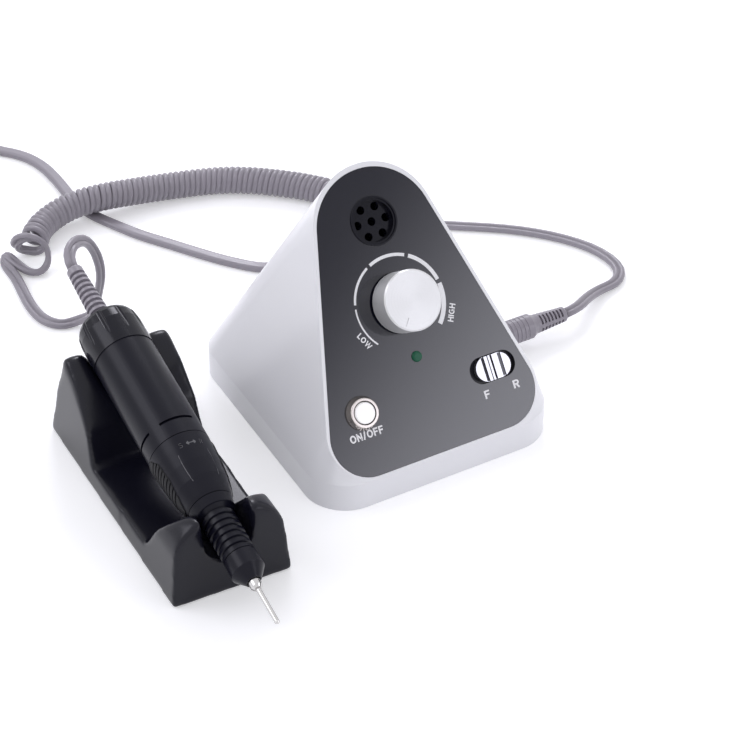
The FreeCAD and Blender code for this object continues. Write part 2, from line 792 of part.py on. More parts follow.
def make_bit_holder():
    inner = S.holder_radius - S.holder_rim
    body = lathe("bit_holder", [
        (0, -S.holder_depth), (S.holder_barrel, -S.holder_depth),
        (S.holder_barrel, 0), (S.holder_radius, 0),
        (S.holder_radius, S.holder_height), (inner, S.holder_height),
        (inner, S.holder_shelf), (inner - S.holder_step, S.holder_shelf),
        (inner - S.holder_step, -S.holder_floor), (0, -S.holder_floor)])
    soften(body, "holder_rim_outside", 0.3, [(S.holder_radius, S.holder_height)])
    middle = sketch_on(body, "middle_hole", lift=-S.holder_floor)
    circle(middle, 0, 0, S.bit_hole)
    cut(body, "middle_bit_hole", middle, S.bit_depth)
    outer = sketch_on(body, "outer_hole", lift=-S.holder_floor)
    circle(outer, S.bit_circle, 0, S.bit_hole)
    hole = cut(body, "outer_bit_hole", outer, S.bit_depth)
    repeat_round(body, "bit_holes", hole, 6)
    on_panel(body, 0, S.holder_up)


def make_knob():
    inner = S.knob_radius - S.knob_wall
    roof = S.knob_top - S.knob_wall
    knob = lathe("speed_knob", [
        (0, roof), (inner, roof), (inner, S.knob_skirt), (S.knob_radius, S.knob_skirt),
        (S.knob_radius, S.knob_top - S.knob_bevel),
        (S.knob_radius - S.knob_bevel, S.knob_top), (0, S.knob_top)])
    line = sketch_on(knob, "pointer_outline", lift=S.knob_top)
    angle = math.radians(float(S.pointer_angle))
    along = Vector(math.cos(angle), math.sin(angle), 0)
    aside = Vector(-math.sin(angle), math.cos(angle), 0) * (float(S.pointer_width) / 2)
    corners = []
    for reach, side in ((S.pointer_start, 1), (S.pointer_end, 1),
                        (S.pointer_end, -1), (S.pointer_start, -1)):
        spot = along * float(reach) + aside * side
        corners.append((spot.x, spot.y))
    polygon(line, corners)
    cut(knob, "pointer", line, S.pointer_depth)
    on_panel(knob)
    core = lathe("knob_core", [
        (S.nut_room, S.core_low), (inner, S.core_low), (inner, roof), (0, roof),
        (0, S.shaft_top), (S.shaft_radius, S.shaft_top),
        (S.shaft_radius, S.bushing_top + 0.5), (S.nut_room, S.bushing_top + 0.5)])
    on_panel(core)
    shaft = lathe("pot_shaft", [
        (0, -S.shaft_low), (S.shaft_radius, -S.shaft_low),
        (S.shaft_radius, S.shaft_top), (0, S.shaft_top)])
    on_panel(shaft)


def make_potentiometer():
    bore = S.shaft_radius + S.shaft_fit
    deep = S.panel_thick + S.pot_depth
    body = lathe("pot_body", [
        (0, -deep), (S.pot_radius, -deep), (S.pot_radius, -S.panel_thick),
        (S.bushing_radius, -S.panel_thick), (S.bushing_radius, S.bushing_top),
        (bore, S.bushing_top), (bore, -S.shaft_low - 0.5), (0, -S.shaft_low - 0.5)])
    on_panel(body)
    nut = new_body("pot_nut")
    outline = sketch_on(nut, "nut_outline")
    across = S.nut_flats / math.cos(math.radians(30)) / 2
    polygon(outline, [
        (across * math.cos(math.radians(60 * i)), across * math.sin(math.radians(60 * i)))
        for i in range(6)])
    circle(outline, 0, 0, S.bushing_radius)
    pad(nut, "nut", outline, S.nut_thick)
    on_panel(nut)


def make_lamp():
    back = -S.panel_thick
    lamp = lathe("power_led", [
        (0, back - S.lamp_flange_thick), (S.lamp_flange, back - S.lamp_flange_thick),
        (S.lamp_flange, back), (S.lamp_radius, back), (S.lamp_radius, S.lamp_top),
        (0, S.lamp_top)])
    soften(lamp, "lamp_dome", S.lamp_top - 0.1, [(S.lamp_radius, S.lamp_top)])
    on_panel(lamp, 0, -S.lamp_down)
    top = back - S.lamp_flange_thick
    holder = lathe("led_holder", [
        (0, top - S.lamp_holder_depth), (S.lamp_holder_radius, top - S.lamp_holder_depth),
        (S.lamp_holder_radius, back), (S.lamp_flange, back), (S.lamp_flange, top), (0, top)])
    on_panel(holder, 0, -S.lamp_down)


def make_button():
    bore = S.cap_radius + S.cap_gap
    bezel = lathe("on_off_bezel", [
        (bore, -S.bezel_depth), (S.bezel_barrel, -S.bezel_depth), (S.bezel_barrel, 0),
        (S.bezel_radius, 0), (S.bezel_radius, S.bezel_lip),
        (S.bezel_top_radius, S.bezel_height), (bore, S.bezel_height)])
    soften(bezel, "bezel_edge", 0.4, [(S.bezel_top_radius, S.bezel_height)])
    on_panel(bezel, S.button_x, -S.button_down)
    cap = lathe("on_off_cap", [
        (0, -S.cap_stem_low), (S.cap_stem, -S.cap_stem_low), (S.cap_stem, -S.cap_low),
        (S.cap_radius, -S.cap_low), (S.cap_radius, S.cap_top), (0, S.cap_top)])
    soften(cap, "cap_edge", 0.7, [(S.cap_radius, S.cap_top)])
    on_panel(cap, S.button_x, -S.button_down)
    room = S.cap_stem_low + S.button_travel + 0.6
    body = lathe("on_off_switch", [
        (0, -S.bezel_depth - S.button_body_depth),
        (S.bezel_barrel, -S.bezel_depth - S.button_body_depth),
        (S.bezel_barrel, -S.bezel_depth), (S.cap_stem + S.cap_gap, -S.bezel_depth),
        (S.cap_stem + S.cap_gap, -room), (0, -room)])
    on_panel(body, S.button_x, -S.button_down)


def make_slide():
    low = S.slide_lift - S.panel_thick
    cap = new_body("direction_cap")
    outline = sketch_on(cap, "slide_outline", lift=low)
    stadium(outline, 0, 0, S.slide_length, S.slide_width)
    pad(cap, "slide", outline, S.slide_top - low)
    grooves = sketch_on(cap, "slide_grooves", lift=S.slide_top)
    for middle, width in ((-4.1, 1.5), (-1.6, 0.5), (0.1, 1.0), (4.3, 1.7)):
        polygon(grooves, [
            (middle - width / 2, -S.slide_width), (middle + width / 2, -S.slide_width),
            (middle + width / 2, S.slide_width), (middle - width / 2, S.slide_width)])
    cut(cap, "slide_grip", grooves, S.groove_depth)
    stem = sketch_on(cap, "slide_stem_outline", lift=-S.slide_stem_low)
    box_outline(stem, 0, 0, S.slide_stem_x, S.slide_stem_y)
    pad(cap, "slide_stem", stem, S.slide_stem_low + low + 0.2)
    on_panel(cap, S.slide_x, -S.slide_down)
    frame = new_body("direction_frame")
    top = sketch_on(frame, "frame_outline", lift=-S.panel_thick)
    stadium(top, 0, 0, S.slot_length + S.frame_margin, S.slot_width + S.frame_margin)
    pad(frame, "frame", top, S.frame_thick, back=True)
    slot = sketch_on(frame, "frame_slot", lift=-S.panel_thick)
    box_outline(slot, 0, 0, S.slide_stem_x + S.slide_travel * 2 + 1, S.slide_stem_y + 0.8)
    cut(frame, "frame_opening", slot, S.frame_thick)
    on_panel(frame, S.slide_x, -S.slide_down)
    body = new_body("direction_switch")
    level = S.panel_thick + S.frame_thick
    block = sketch_on(body, "switch_outline", lift=-level)
    box_outline(block, 0, 0, S.slide_body_length, S.slide_body_width)
    pad(body, "switch_block", block, S.slide_body_depth, back=True)
    room = sketch_on(body, "switch_room", lift=-level)
    box_outline(room, 0, 0, S.slide_stem_x + S.slide_travel * 2 + 1, S.slide_stem_y + 0.8)
    cut(body, "switch_slot", room, S.slide_stem_low - level + 0.6)
    on_panel(body, S.slide_x, -S.slide_down)


def box_outline(sketch, x, y, length, width):
    polygon(sketch, [
        (x - length / 2, y - width / 2), (x + length / 2, y - width / 2),
        (x + length / 2, y + width / 2), (x - length / 2, y + width / 2)])


def make_inside():
    board = new_body("control_board")
    outline = sketch_on(board, "board_outline", lift=S.board_z)
    box_outline(outline, 0, S.board_y, S.board_length, S.board_width)
    pad(board, "board", outline, S.board_thick)
    pillars = new_body("board_pillars")
    pillars.AllowCompound = True
    low = S.plate_low + S.plate_thick
    rounds = sketch_on(pillars, "pillar_outline", lift=low)
    for left in (-1, 1):
        for rear in (-1, 1):
            x = (S.board_length / 2 - S.pillar_inset) * left
            y = S.board_y + (S.board_width / 2 - S.pillar_inset) * rear
            circle(rounds, x, y, S.pillar_radius)
    pad(pillars, "pillars", rounds, S.board_z - low)
    parts = new_body("board_parts")
    parts.AllowCompound = True
    top = S.board_z + S.board_thick
    cans = sketch_on(parts, "can_outline", lift=top)
    circle(cans, -12, S.board_y - 4, 4)
    circle(cans, 0, S.board_y - 4, 4)
    pad(parts, "capacitors", cans, 10)
    chips = sketch_on(parts, "chip_outline", lift=top)
    box_outline(chips, Size(16, "16"), S.board_y + 4, Size(14, "14"), Size(9, "9"))
    pad(parts, "chips", chips, 3)
    core = new_body("transformer_core")
    base = low + S.bracket_thick
    front = sketch_on(core, "core_outline", "XZ_Plane")
    polygon(front, [
        (-S.core_width / 2, base), (S.core_width / 2, base),
        (S.core_width / 2, base + S.core_height), (-S.core_width / 2, base + S.core_height)])
    for side in (-1, 1):
        middle = (S.leg_width + S.window_width) / 2 * side
        half = S.window_width / 2
        rise = base + (S.core_height - S.window_height) / 2
        polygon(front, [
            (middle - half, rise), (middle + half, rise),
            (middle + half, rise + S.window_height), (middle - half, rise + S.window_height)])
    pad(core, "core", front, S.core_depth, both=True)
    core.Placement = Placement(Vector(0, float(S.core_y), 0), Rotation())
    winding = new_body("transformer_winding")
    turns = sketch_on(winding, "winding_outline",
                      lift=base + (S.core_height - S.window_height) / 2 + S.winding_gap)
    leg_x = S.leg_width + S.winding_gap * 2
    leg_y = S.core_depth + S.winding_gap * 2
    box_outline(turns, 0, 0, leg_x, leg_y)
    box_outline(turns, 0, 0, leg_x + S.winding_out * 2, leg_y + S.winding_out * 2)
    pad(winding, "winding", turns, S.window_height - S.winding_gap * 2)
    winding.Placement = core.Placement
    bracket = new_body("transformer_bracket")
    strap = sketch_on(bracket, "bracket_outline", lift=low)
    box_outline(strap, 0, S.core_y, S.bracket_length, S.core_depth)
    pad(bracket, "bracket", strap, S.bracket_thick)


def make_socket():
    turn = Rotation(Vector(0, 1, 0), 90)
    place = Placement(Vector(float(side_wall()), 0, float(S.socket_z)), turn)
    seat = S.seat_gap
    inner = -S.housing_wall - seat
    deep = inner - S.socket_depth
    out = S.socket_ring_thick + seat
    socket = lathe("handpiece_socket", [
        (0, deep), (S.socket_body, deep), (S.socket_body, inner),
        (S.socket_bushing, inner), (S.socket_bushing, out), (S.socket_bore, out),
        (S.socket_bore, deep + 1), (0, deep + 1)])
    socket.Placement = place
    ring = lathe("socket_ring", [
        (S.socket_bushing, seat), (S.socket_ring, seat), (S.socket_ring, out),
        (S.socket_bushing, out)])
    ring.Placement = place
    plug_end = out + S.plug_long
    rings = int(round(float(S.plug_rings)))
    pitch = (S.plug_long - 6) / rings
    outline = [(0, out), (S.plug_barrel - 0.6, out), (S.plug_barrel, out + 0.6)]
    for i in range(rings):
        at = out + 3 + pitch * i
        outline += [
            (S.plug_barrel, at), (S.plug_barrel - 0.3, at + pitch * 0.12),
            (S.plug_barrel - 0.3, at + pitch * 0.2), (S.plug_barrel, at + pitch * 0.32)]
    outline += [
        (S.plug_barrel, plug_end - 1.6), (S.plug_shoulder + 0.4, plug_end),
        (S.plug_shoulder, plug_end + 1), (S.plug_tail, plug_end + S.plug_tail_long - 0.6),
        (S.plug_tail - 0.6, plug_end + S.plug_tail_long), (0, plug_end + S.plug_tail_long)]
    plug = lathe("plug_body", outline)
    slots = int(round(float(S.relief_slots)))
    step = (S.plug_tail_long - 4.5) / slots
    for i in range(slots):
        start = plug_end + 3 + step * i
        top = S.plug_shoulder - (S.plug_shoulder - S.plug_tail) * (i / slots)
        slot = groove(plug, "relief_%d" % i, [
            (top - 1.5, start), (top + 1, start),
            (top + 1, start + S.relief_width), (top - 1.5, start + S.relief_width)])
        slot.Angle = 66
        doc.recompute()
        repeat_round(plug, "relief_row_%d" % i, slot, 4)
    plug.Placement = place
    tip = lathe("plug_pin", [
        (0, out - S.plug_pin_long), (S.plug_pin - 0.7, out - S.plug_pin_long),
        (S.plug_pin, out - S.plug_pin_long + 1), (S.plug_pin, out), (0, out)])
    tip.Placement = place
    return place.multVec(Vector(0, 0, float(plug_end + S.plug_tail_long)))


def make_gland():
    start = -S.housing_wall - 1.5
    flange = S.gland_flange_thick
    clip = S.gland_bushing + S.gland_clip
    tip = S.gland_length
    body = lathe("mains_gland", [
        (0, start), (clip, start), (clip, -S.housing_wall),
        (S.gland_bushing, -S.housing_wall), (S.gland_bushing, 0), (S.gland_flange, 0),
        (S.gland_flange, flange), (S.gland_root, flange), (S.gland_tip, tip), (0, tip)])
    for i in range(5):
        rise = flange + 3 + i * 4
        groove(body, "gland_groove_%d" % i, [
            (S.gland_tip - 0.9, rise), (S.gland_root + 1, rise),
            (S.gland_root + 1, rise + 1.6), (S.gland_tip - 0.9, rise + 1.6)])
    turn = Rotation(Vector(1, 0, 0), -90)
    spot = Vector(float(S.gland_x), float(S.rear_y), float(S.gland_z))
    body.Placement = Placement(spot, turn)
    return body.Placement.multVec(Vector(0, 0, float(tip)))


# The cradle
def make_cradle():
    """Two blocks on a low deck, with a notch and a saddle for the handpiece."""
    side = new_body("cradle_side")
    profile = sketch_on(side, "cradle_profile", "YZ_Plane")
    full = S.cradle_length
    rounded(profile, [
        (0, 0, 0.6), (full, 0, 0.6),
        (full - S.rear_lean, S.rear_top, 4),
        (S.rear_front + 17, S.rear_top - 9, 14),
        (S.rear_front + 6, S.deck_z + 18, 12),
        (S.rear_front, S.deck_z, 3),
        (S.front_back, S.deck_z, 5),
        (S.front_back - 11.5, S.deck_z + 17, 16),
        (S.front_back - 22, S.front_top + 0.3, 12),
        (S.front_lean, S.front_top + 0.3, 3)])
    pad(side, "cradle_block", profile, S.cradle_half * 2 + 2, both=True)
    faces = new_body("cradle_faces")
    front = sketch_on(faces, "cradle_front", "XZ_Plane")
    low = S.cradle_half
    shoulder = S.cradle_half - S.cradle_lean
    rounded(front, [
        (-low, 0, 1), (low, 0, 1), (shoulder, S.front_top, S.front_shoulder),
        (-shoulder, S.front_top, S.front_shoulder)])
    pad(faces, "front_half_block", front, S.front_back + 25, back=True)
    rear = sketch_on(faces, "cradle_rear", "XZ_Plane",
                     offset=Placement(Vector(0, 0, -float(S.front_back) - 24.9), Rotation()))
    high = S.rear_horn_half
    rounded(rear, [
        (-low, 0, 1), (low, 0, 1), (high, S.rear_top + 0.2, 4.5),
        (high - 9.5, S.rear_top + 0.2, 4.5), (high - 14, S.rear_top - 12, 2),
        (14 - high, S.rear_top - 12, 2), (9.5 - high, S.rear_top + 0.2, 4.5),
        (-high, S.rear_top + 0.2, 4.5)])
    pad(faces, "rear_half_block", rear, full - S.front_back - 20, back=True)
    doc.recompute()
    outer = doc.addObject("Part::MultiCommon", "cradle_outer")
    outer.Shapes = [side, faces]
    channel = make_channel()
    doc.recompute()
    carved = doc.addObject("Part::Cut", "cradle_carved")
    carved.Base = outer
    carved.Tool = channel
    doc.recompute()
    room = make_cradle_room()
    body = doc.addObject("Part::Cut", "cradle_body")
    body.Label = "cradle_body"
    body.Base = carved
    body.Tool = room
    doc.recompute()
    body.Placement = cradle_place
    plate = new_body("cradle_base")
    wall = S.cradle_wall
    inset = S.cradle_wall + S.plate_gap
    outline = sketch_on(plate, "cradle_plate_outline", lift=S.plate_low)
    polygon(outline, [
        (inset - S.cradle_half, inset), (S.cradle_half - inset, inset),
        (S.cradle_half - inset, full - inset), (inset - S.cradle_half, full - inset)])
    pad(plate, "cradle_plate", outline, S.cradle_plate)
    plate.Placement = cradle_place
    feet = new_body("cradle_feet")
    feet.AllowCompound = True
    rounds = sketch_on(feet, "cradle_feet_outline")
    for left in (-1, 1):
        for y in (S.cradle_foot + wall + 3, full - S.cradle_foot - wall - 3):
            circle(rounds, (S.cradle_half - S.cradle_foot - wall - 3) * left, y, S.cradle_foot)
    pad(feet, "cradle_foot_rounds", rounds, S.plate_low)
    feet.Placement = cradle_place


def make_channel():
    """The space of the handpiece in the cradle, round below and open upward."""
    gap = S.channel_gap
    saddle = S.cap_radius_rear + S.saddle_gap
    outer = sleeve_outline()
    points = [(0, -15), (S.notch_radius, -15), (S.notch_radius, outer[0][1] - 0.5)]
    points += [(radius + gap, station) for radius, station in outer[1:]]
    points += [(saddle, outer[-1][1] + 2), (saddle, 190), (0, 190)]
    pieces = [lathe("channel_round", points)]
    middle = outer[2][1]
    for name, half, first, last in (
            ("notch", S.notch_radius, plain(-15), middle), ("saddle", saddle, middle, 190)):
        body = new_body("channel_" + name)
        outline = sketch_on(body, name + "_outline", lift=first)
        polygon(outline, [(-half, 0), (half, 0), (half, 60), (-half, 60)])
        pad(body, name + "_length", outline, last - first)
        pieces.append(body)
    doc.recompute()
    channel = doc.addObject("Part::MultiFuse", "channel")
    channel.Shapes = pieces
    doc.recompute()
    for piece in pieces:
        piece.Placement = lying
    doc.recompute()
    return channel


def make_cradle_room():
    """The hollow underside of the cradle's moulding."""
    body = new_body("cradle_room")
    wall = S.cradle_wall
    outline = sketch_on(body, "room_outline")
    polygon(outline, [
        (wall - S.cradle_half, wall), (S.cradle_half - wall, wall),
        (S.cradle_half - wall, S.cradle_length - wall), (wall - S.cradle_half, S.cradle_length - wall)])
    pad(body, "room", outline, S.deck_z - wall)
    return body


# The handpiece
def grip_ribs():
    """Outline points of the ribbed grip, from its front to its rear."""
    points = []
    count = int(round(float(S.rib_count)))
    pitch = (S.grip_end - S.cap_end) / count
    for i in range(count):
        share = i / count
        top = S.grip_radius + (S.grip_end_radius - S.grip_radius) * share
        start = S.cap_end + pitch * i
        points.append((top, start + pitch * 0.12))
        points.append((top, start + pitch * 0.6))
        points.append((top - S.rib_depth, start + pitch * 0.72))
        points.append((top - S.rib_depth, start + pitch * 0.98))
    return points


def make_nose():
    bore = S.collet_radius + S.seam
    cap = lathe("nose_cap", [
        (bore, 0), (S.cone_radius, 0), (S.ring_radius, S.cone_length),
        (S.grip_radius, S.cap_end), (bore, S.cap_end)])
    on_handpiece(cap)
    seat = S.sleeve_start - S.seam
    hub_end = S.sleeve_end + 4
    inner = S.bearing_radius
    points = [(bore, S.cap_end)]
    points += grip_ribs()
    points += [
        (S.grip_end_radius, S.grip_end + 0.6), (S.grip_end_radius + 1.2, S.grip_end + 1.6),
        (S.sleeve_front - 1, S.sleeve_start - 4.5), (S.sleeve_front, seat),
        (S.hub_radius, seat), (S.hub_radius, hub_end), (inner, hub_end),
        (inner, S.sleeve_start), (bore, S.sleeve_start)]
    grip = lathe("nose_grip", points)
    on_handpiece(grip)


def sleeve_outline():
    """(radius, station) points of the twist sleeve's bulging outside, front to rear."""
    rear = S.sleeve_end - S.seam
    points = []
    for share, rise in ((0, 0), (0.05, 0.13), (0.29, 0.56), (0.55, 0.79), (0.81, 0.93), (1, 1)):
        radius = S.sleeve_front + (S.body_radius - S.sleeve_front) * rise
        points.append((radius, S.sleeve_start + (rear - S.sleeve_start) * share))
    return points


def make_sleeve():
    inner = S.hub_radius + S.hub_fit
    outer = sleeve_outline()
    sleeve = lathe("twist_sleeve", [(inner, outer[0][1])] + outer + [(inner, outer[-1][1])])
    on_handpiece(sleeve)
    make_pads(outer)


def sleeve_radius(outer, station):
    for (low, start), (high, stop) in zip(outer, outer[1:]):
        if station <= float(stop):
            share = (station - float(start)) / (float(stop) - float(start))
            return float(low) + (float(high) - float(low)) * share
    return float(outer[-1][0])


def sleeve_solid(outer, grow):
    """The sleeve's outside as a solid of revolution, grown by this much."""
    rim = [Vector(0, 0, float(outer[0][1]))]
    rim += [Vector(float(radius) + grow, 0, float(station)) for radius, station in outer]
    rim += [Vector(0, 0, float(outer[-1][1])), Vector(0, 0, float(outer[0][1]))]
    face = Part.Face(Part.makePolygon(rim))
    return face.revolve(Vector(0, 0, 0), Vector(0, 0, 1), 360)


def make_pads(outer):
    """Two long ribbed pads on the sides of the twist sleeve."""
    shell = sleeve_solid(outer, float(S.grip_pad)).cut(sleeve_solid(outer, 0))
    half = float(S.grip_half)
    first = float(outer[0][1]) + 1.5
    last = float(outer[-1][1]) - 0.6
    count = int(round(float(S.grip_bars)))
    solids = []
    for angle in (-float(S.grip_low), 180 + float(S.grip_low)):
        rim = [
            Vector(4, half * 0.3, first), Vector(4, half * 0.75, first + 6),
            Vector(4, half, first + 14), Vector(4, half, last - 5),
            Vector(4, half * 0.6, last), Vector(4, -half * 0.6, last),
            Vector(4, -half, last - 5), Vector(4, -half, first + 14),
            Vector(4, -half * 0.75, first + 6), Vector(4, -half * 0.3, first),
            Vector(4, half * 0.3, first)]
        blade = Part.Face(Part.makePolygon(rim)).extrude(Vector(14, 0, 0))
        pad_shape = shell.common(blade)
        for i in range(count):
            station = first + 5 + (last - first - 10) * i / (count - 1)
            radius = sleeve_radius(outer, station)
            bar = Part.makeBox(8, 18, 0.7, Vector(radius * 0.86, -9, station))
            bar.rotate(Vector(0, 0, station), Vector(1, 0, 0), 18)
            bar = bar.cut(Part.makeCylinder(radius + 0.15, 12, Vector(0, 0, station - 5)))
            pad_shape = pad_shape.cut(bar)
        pad_shape.rotate(Vector(0, 0, 0), Vector(0, 0, 1), angle)
        solids.append(pad_shape)
    thing = doc.addObject("Part::Feature", "sleeve_grips")
    thing.Label = "sleeve_grips"
    thing.Shape = Part.makeCompound(solids)
    on_handpiece(thing)


def make_tube():
    inner = S.body_radius - S.tube_wall
    hub = S.hub_radius
    shelf = S.sleeve_end + 4
    body = lathe("body_tube", [
        (hub, S.sleeve_end), (S.body_radius, S.sleeve_end), (S.body_radius, S.body_end),
        (inner, S.body_end), (inner, shelf), (hub, shelf)])
    doc.recompute()
    slit = sketch_on(body, "vent_outline", "XZ_Plane")
    low = S.slot_station - S.vent_width / 2
    polygon(slit, [
        (S.body_radius - 1.1, low), (S.body_radius + 1, low),
        (S.body_radius + 1, low + S.vent_width), (S.body_radius - 1.1, low + S.vent_width)])
    vent = body.newObject("PartDesign::Groove", "vent")
    vent.Profile = slit
    vent.ReferenceAxis = (slit, ["V_Axis"])
    bind(vent, "Angle", S.vent_span)
    doc.recompute()
    repeat_round(body, "vents", vent, 4)
    phase = Rotation(Vector(0, 0, 1), float(S.vent_phase - S.vent_span / 2))
    body.Placement = Placement(nose_spot, hand_turn.multiply(phase))
    return body


def make_tail():
    inner = S.body_radius - S.tube_wall
    wide = S.cap_radius_rear
    rear = S.tail_end
    body = lathe("end_cap", [
        (0, S.body_end - 3), (inner, S.body_end - 3), (inner, S.body_end),
        (wide, S.body_end), (wide, rear - 8), (wide - 0.6, rear - 3.4),
        (wide - 1.6, rear - 1.4), (S.tail_radius, rear), (0, rear)])
    lean = math.atan2(float(S.flute_depth), float(rear - S.flute_start))
    middle = float(wide + S.flute_radius - S.flute_depth)
    line = sketch_on(body, "flute_outline", offset=Placement(
        Vector(middle, 0, float(rear)), Rotation(Vector(0, 1, 0), -math.degrees(lean))))
    circle(line, 0, 0, S.flute_radius)
    flute = cut(body, "flute", line, rear - S.flute_start, both=True)
    bind(flute, "Length", (rear - S.flute_start) * 2.4)
    repeat_round(body, "flutes", flute, 10)
    phase = Rotation(Vector(0, 0, 1), float(S.flute_phase))
    body.Placement = Placement(nose_spot, hand_turn.multiply(phase))
    boot_points = [(0, rear), (S.boot_root, rear)]
    count = int(round(float(S.boot_ribs)))
    pitch = (S.boot_end - rear - 4) / count
    for i in range(count):
        top = S.boot_root + (S.boot_tip - S.boot_root) * (i / count)
        at = rear + pitch * i
        boot_points += [
            (top, at + pitch * 0.45), (top - 1.4, at + pitch * 0.52),
            (top - 1.4, at + pitch * 0.94), (top - 0.1, at + pitch)]
    boot_points += [(S.boot_tip, S.boot_end - 1), (S.boot_tip - 0.7, S.boot_end), (0, S.boot_end)]
    boot = lathe("cord_boot", boot_points)
    on_handpiece(boot)
    return Placement(nose_spot, hand_turn).multVec(Vector(0, 0, float(S.boot_end)))


def make_motor():
    inner = S.body_radius - S.tube_wall
    start = S.sleeve_end + 10
    stop = S.body_end - 4
    can = lathe("motor_can", [
        (S.bearing_radius + 0.3, start), (inner, start), (inner, stop), (0, stop), (0, stop - 2),
        (S.rotor_radius + 1, stop - 2), (S.rotor_radius + 1, start + 2),
        (S.bearing_radius + 0.3, start + 2)])
    on_handpiece(can)
    first = start + 6
    last = stop - 14
    rotor = lathe("rotor", [
        (S.spindle_radius, first), (S.rotor_radius, first), (S.rotor_radius, last),
        (S.spindle_radius, last)])
    on_handpiece(rotor)
    return stop


def ring_piece(label, outer, inner, start, width):
    body = lathe(label, [
        (inner, start), (outer, start), (outer, start + width), (inner, start + width)])
    on_handpiece(body)
    return body


def make_spindle(stop):
    bore = S.bit_radius + S.bit_fit
    back = S.sleeve_start + 2
    ring_piece("front_bearing", S.bearing_radius, S.spindle_radius + S.hub_fit,
               back, S.bearing_width)
    ring_piece("rear_bearing", S.rotor_radius + 1, S.spindle_radius + S.hub_fit,
               stop - 2 - S.bearing_width, S.bearing_width)
    end = S.spindle_end - 1.5
    shaft = lathe("spindle_shaft", [
        (0, S.cap_end + 14), (S.spindle_radius, S.cap_end + 14), (S.spindle_radius, end), (0, end)])
    on_handpiece(shaft)
    collet = lathe("collet", [
        (bore, -S.collet_out), (S.collet_radius - 0.8, -S.collet_out),
        (S.collet_radius, 1 - S.collet_out), (S.collet_radius, S.cap_end + 14),
        (0, S.cap_end + 14), (0, S.cap_end + 11), (bore, S.cap_end + 11)])
    slit = sketch_on(collet, "collet_slit", "XY_Plane", lift=-S.collet_out)
    polygon(slit, [(0.5, -0.2), (4, -0.2), (4, 0.2), (0.5, 0.2)])
    one = cut(collet, "collet_slot", slit, 3, back=True)
    repeat_round(collet, "collet_slots", one, 3)
    on_handpiece(collet)
    bit = lathe("drill_bit", [
        (0, -S.bit_out), (S.bit_radius * 0.6, -S.bit_out),
        (S.bit_radius, 0.6 - S.bit_out), (S.bit_radius, S.bit_in), (0, S.bit_in)])
    on_handpiece(bit)


# Cords
def bent_wire(route, report):
    """Straight runs joined by the largest tangent arcs that their runs allow."""
    runs = [(route[i + 1] - route[i]) for i in range(len(route) - 1)]
    edges = []
    here = route[0]
    least = None
    for i in range(1, len(route) - 1):
        before = Vector(runs[i - 1]).normalize()
        after = Vector(runs[i]).normalize()
        half = before.getAngle(after) / 2
        reach = 0.45 * min(runs[i - 1].Length, runs[i].Length)
        radius = reach / math.tan(half)
        least = radius if least is None else min(least, radius)
        enter = route[i] - before * reach
        leave = route[i] + after * reach
        middle = route[i] + (after - before).normalize() * (radius / math.cos(half) - radius)
        edges.append(Part.LineSegment(here, enter).toShape())
        edges.append(Part.Arc(enter, middle, leave).toShape())
        here = leave
    edges.append(Part.LineSegment(here, route[-1]).toShape())
    wire = Part.Wire(edges)
    print(report, "length %.1f" % wire.Length, "least radius %.1f" % least)
    return wire


def round_tube(label, wire, radius):
    start = wire.Edges[0]
    axis = start.tangentAt(start.FirstParameter)
    spot = start.valueAt(start.FirstParameter)
    section = Part.Wire([Part.Circle(spot, axis, radius).toShape()])
    return swept(label, wire, section, math.pi * radius * radius)


def swept(label, wire, section, area):
    shell = Part.BRepOffsetAPI.MakePipeShell(wire)
    shell.add(section, False, False)
    shell.build()
    shell.makeSolid()
    solid = shell.shape()
    if solid.Volume < 0:
        solid.reverse()
    share = solid.Volume / (area * wire.Length)
    print(label, "volume over section times length %.4f" % share)
    if abs(share - 1) > 0.02:
        raise ValueError(label + " has a wrong volume")
    thing = doc.addObject("Part::Feature", label)
    thing.Label = label
    thing.Shape = solid
    return thing


def flat_section(spot, axis, width, thick):
    """Rounded flat section square to the axis, its wide side level."""
    across = Vector(0, 0, 1).cross(axis).normalize()
    up = axis.cross(across).normalize()
    half = (width - thick) / 2
    r = thick / 2
    a = spot + across * -half + up * r
    b = spot + across * half + up * r
    c = spot + across * (half + r)
    d = spot + across * half - up * r
    e = spot + across * -half - up * r
    f = spot - across * (half + r)
    return Part.Wire([
        Part.LineSegment(a, b).toShape(), Part.Arc(b, c, d).toShape(),
        Part.LineSegment(d, e).toShape(), Part.Arc(e, f, a).toShape()])


def make_mains(start):
    """Flat mains cord from the gland along the table to the left."""
    low = float(S.mains_thick) / 2 + 0.05
    route = [start]
    for x, y, z in (
            (18, 99, 7.4), (13.5, 107, 4.4), (3, 111.5, low), (-9, 125, low),
            (-19, 139.5, low), (-28.3, 154.3, low), (-37.5, 168, low), (-44, 181.5, low),
            (-51, 196.5, low), (-53.4, 213, low), (-52.6, 231, low), (-53.5, 248.5, low),
            (-58.5, 262.5, low), (-69.5, 274.5, low)):
        route.append(Vector(x, y, z))
    ring = ring_start()
    route.append(ring[0])
    wire = bent_wire(route, "mains cord")
    axis = (route[1] - route[0]).normalize()
    section = flat_section(start, axis, float(S.mains_width), float(S.mains_thick))
    area = Part.Face(section).Area
    swept("mains_cord", wire, section, area)


RING_MIDDLE = Vector(-125, 285, 0)
RING_ANGLE = 25


def ring_start():
    """Where the mains coil begins, and its direction there."""
    angle = math.radians(RING_ANGLE)
    out = Vector(math.cos(angle), math.sin(angle), 0)
    along = Vector(-math.sin(angle), math.cos(angle), 0)
    low = float(S.ring_wire) / 2 + 0.05
    spot = RING_MIDDLE + out * float(S.ring_out) + Vector(0, 0, low)
    return spot - along * (float(S.ring_wire) * 2.8), spot, along


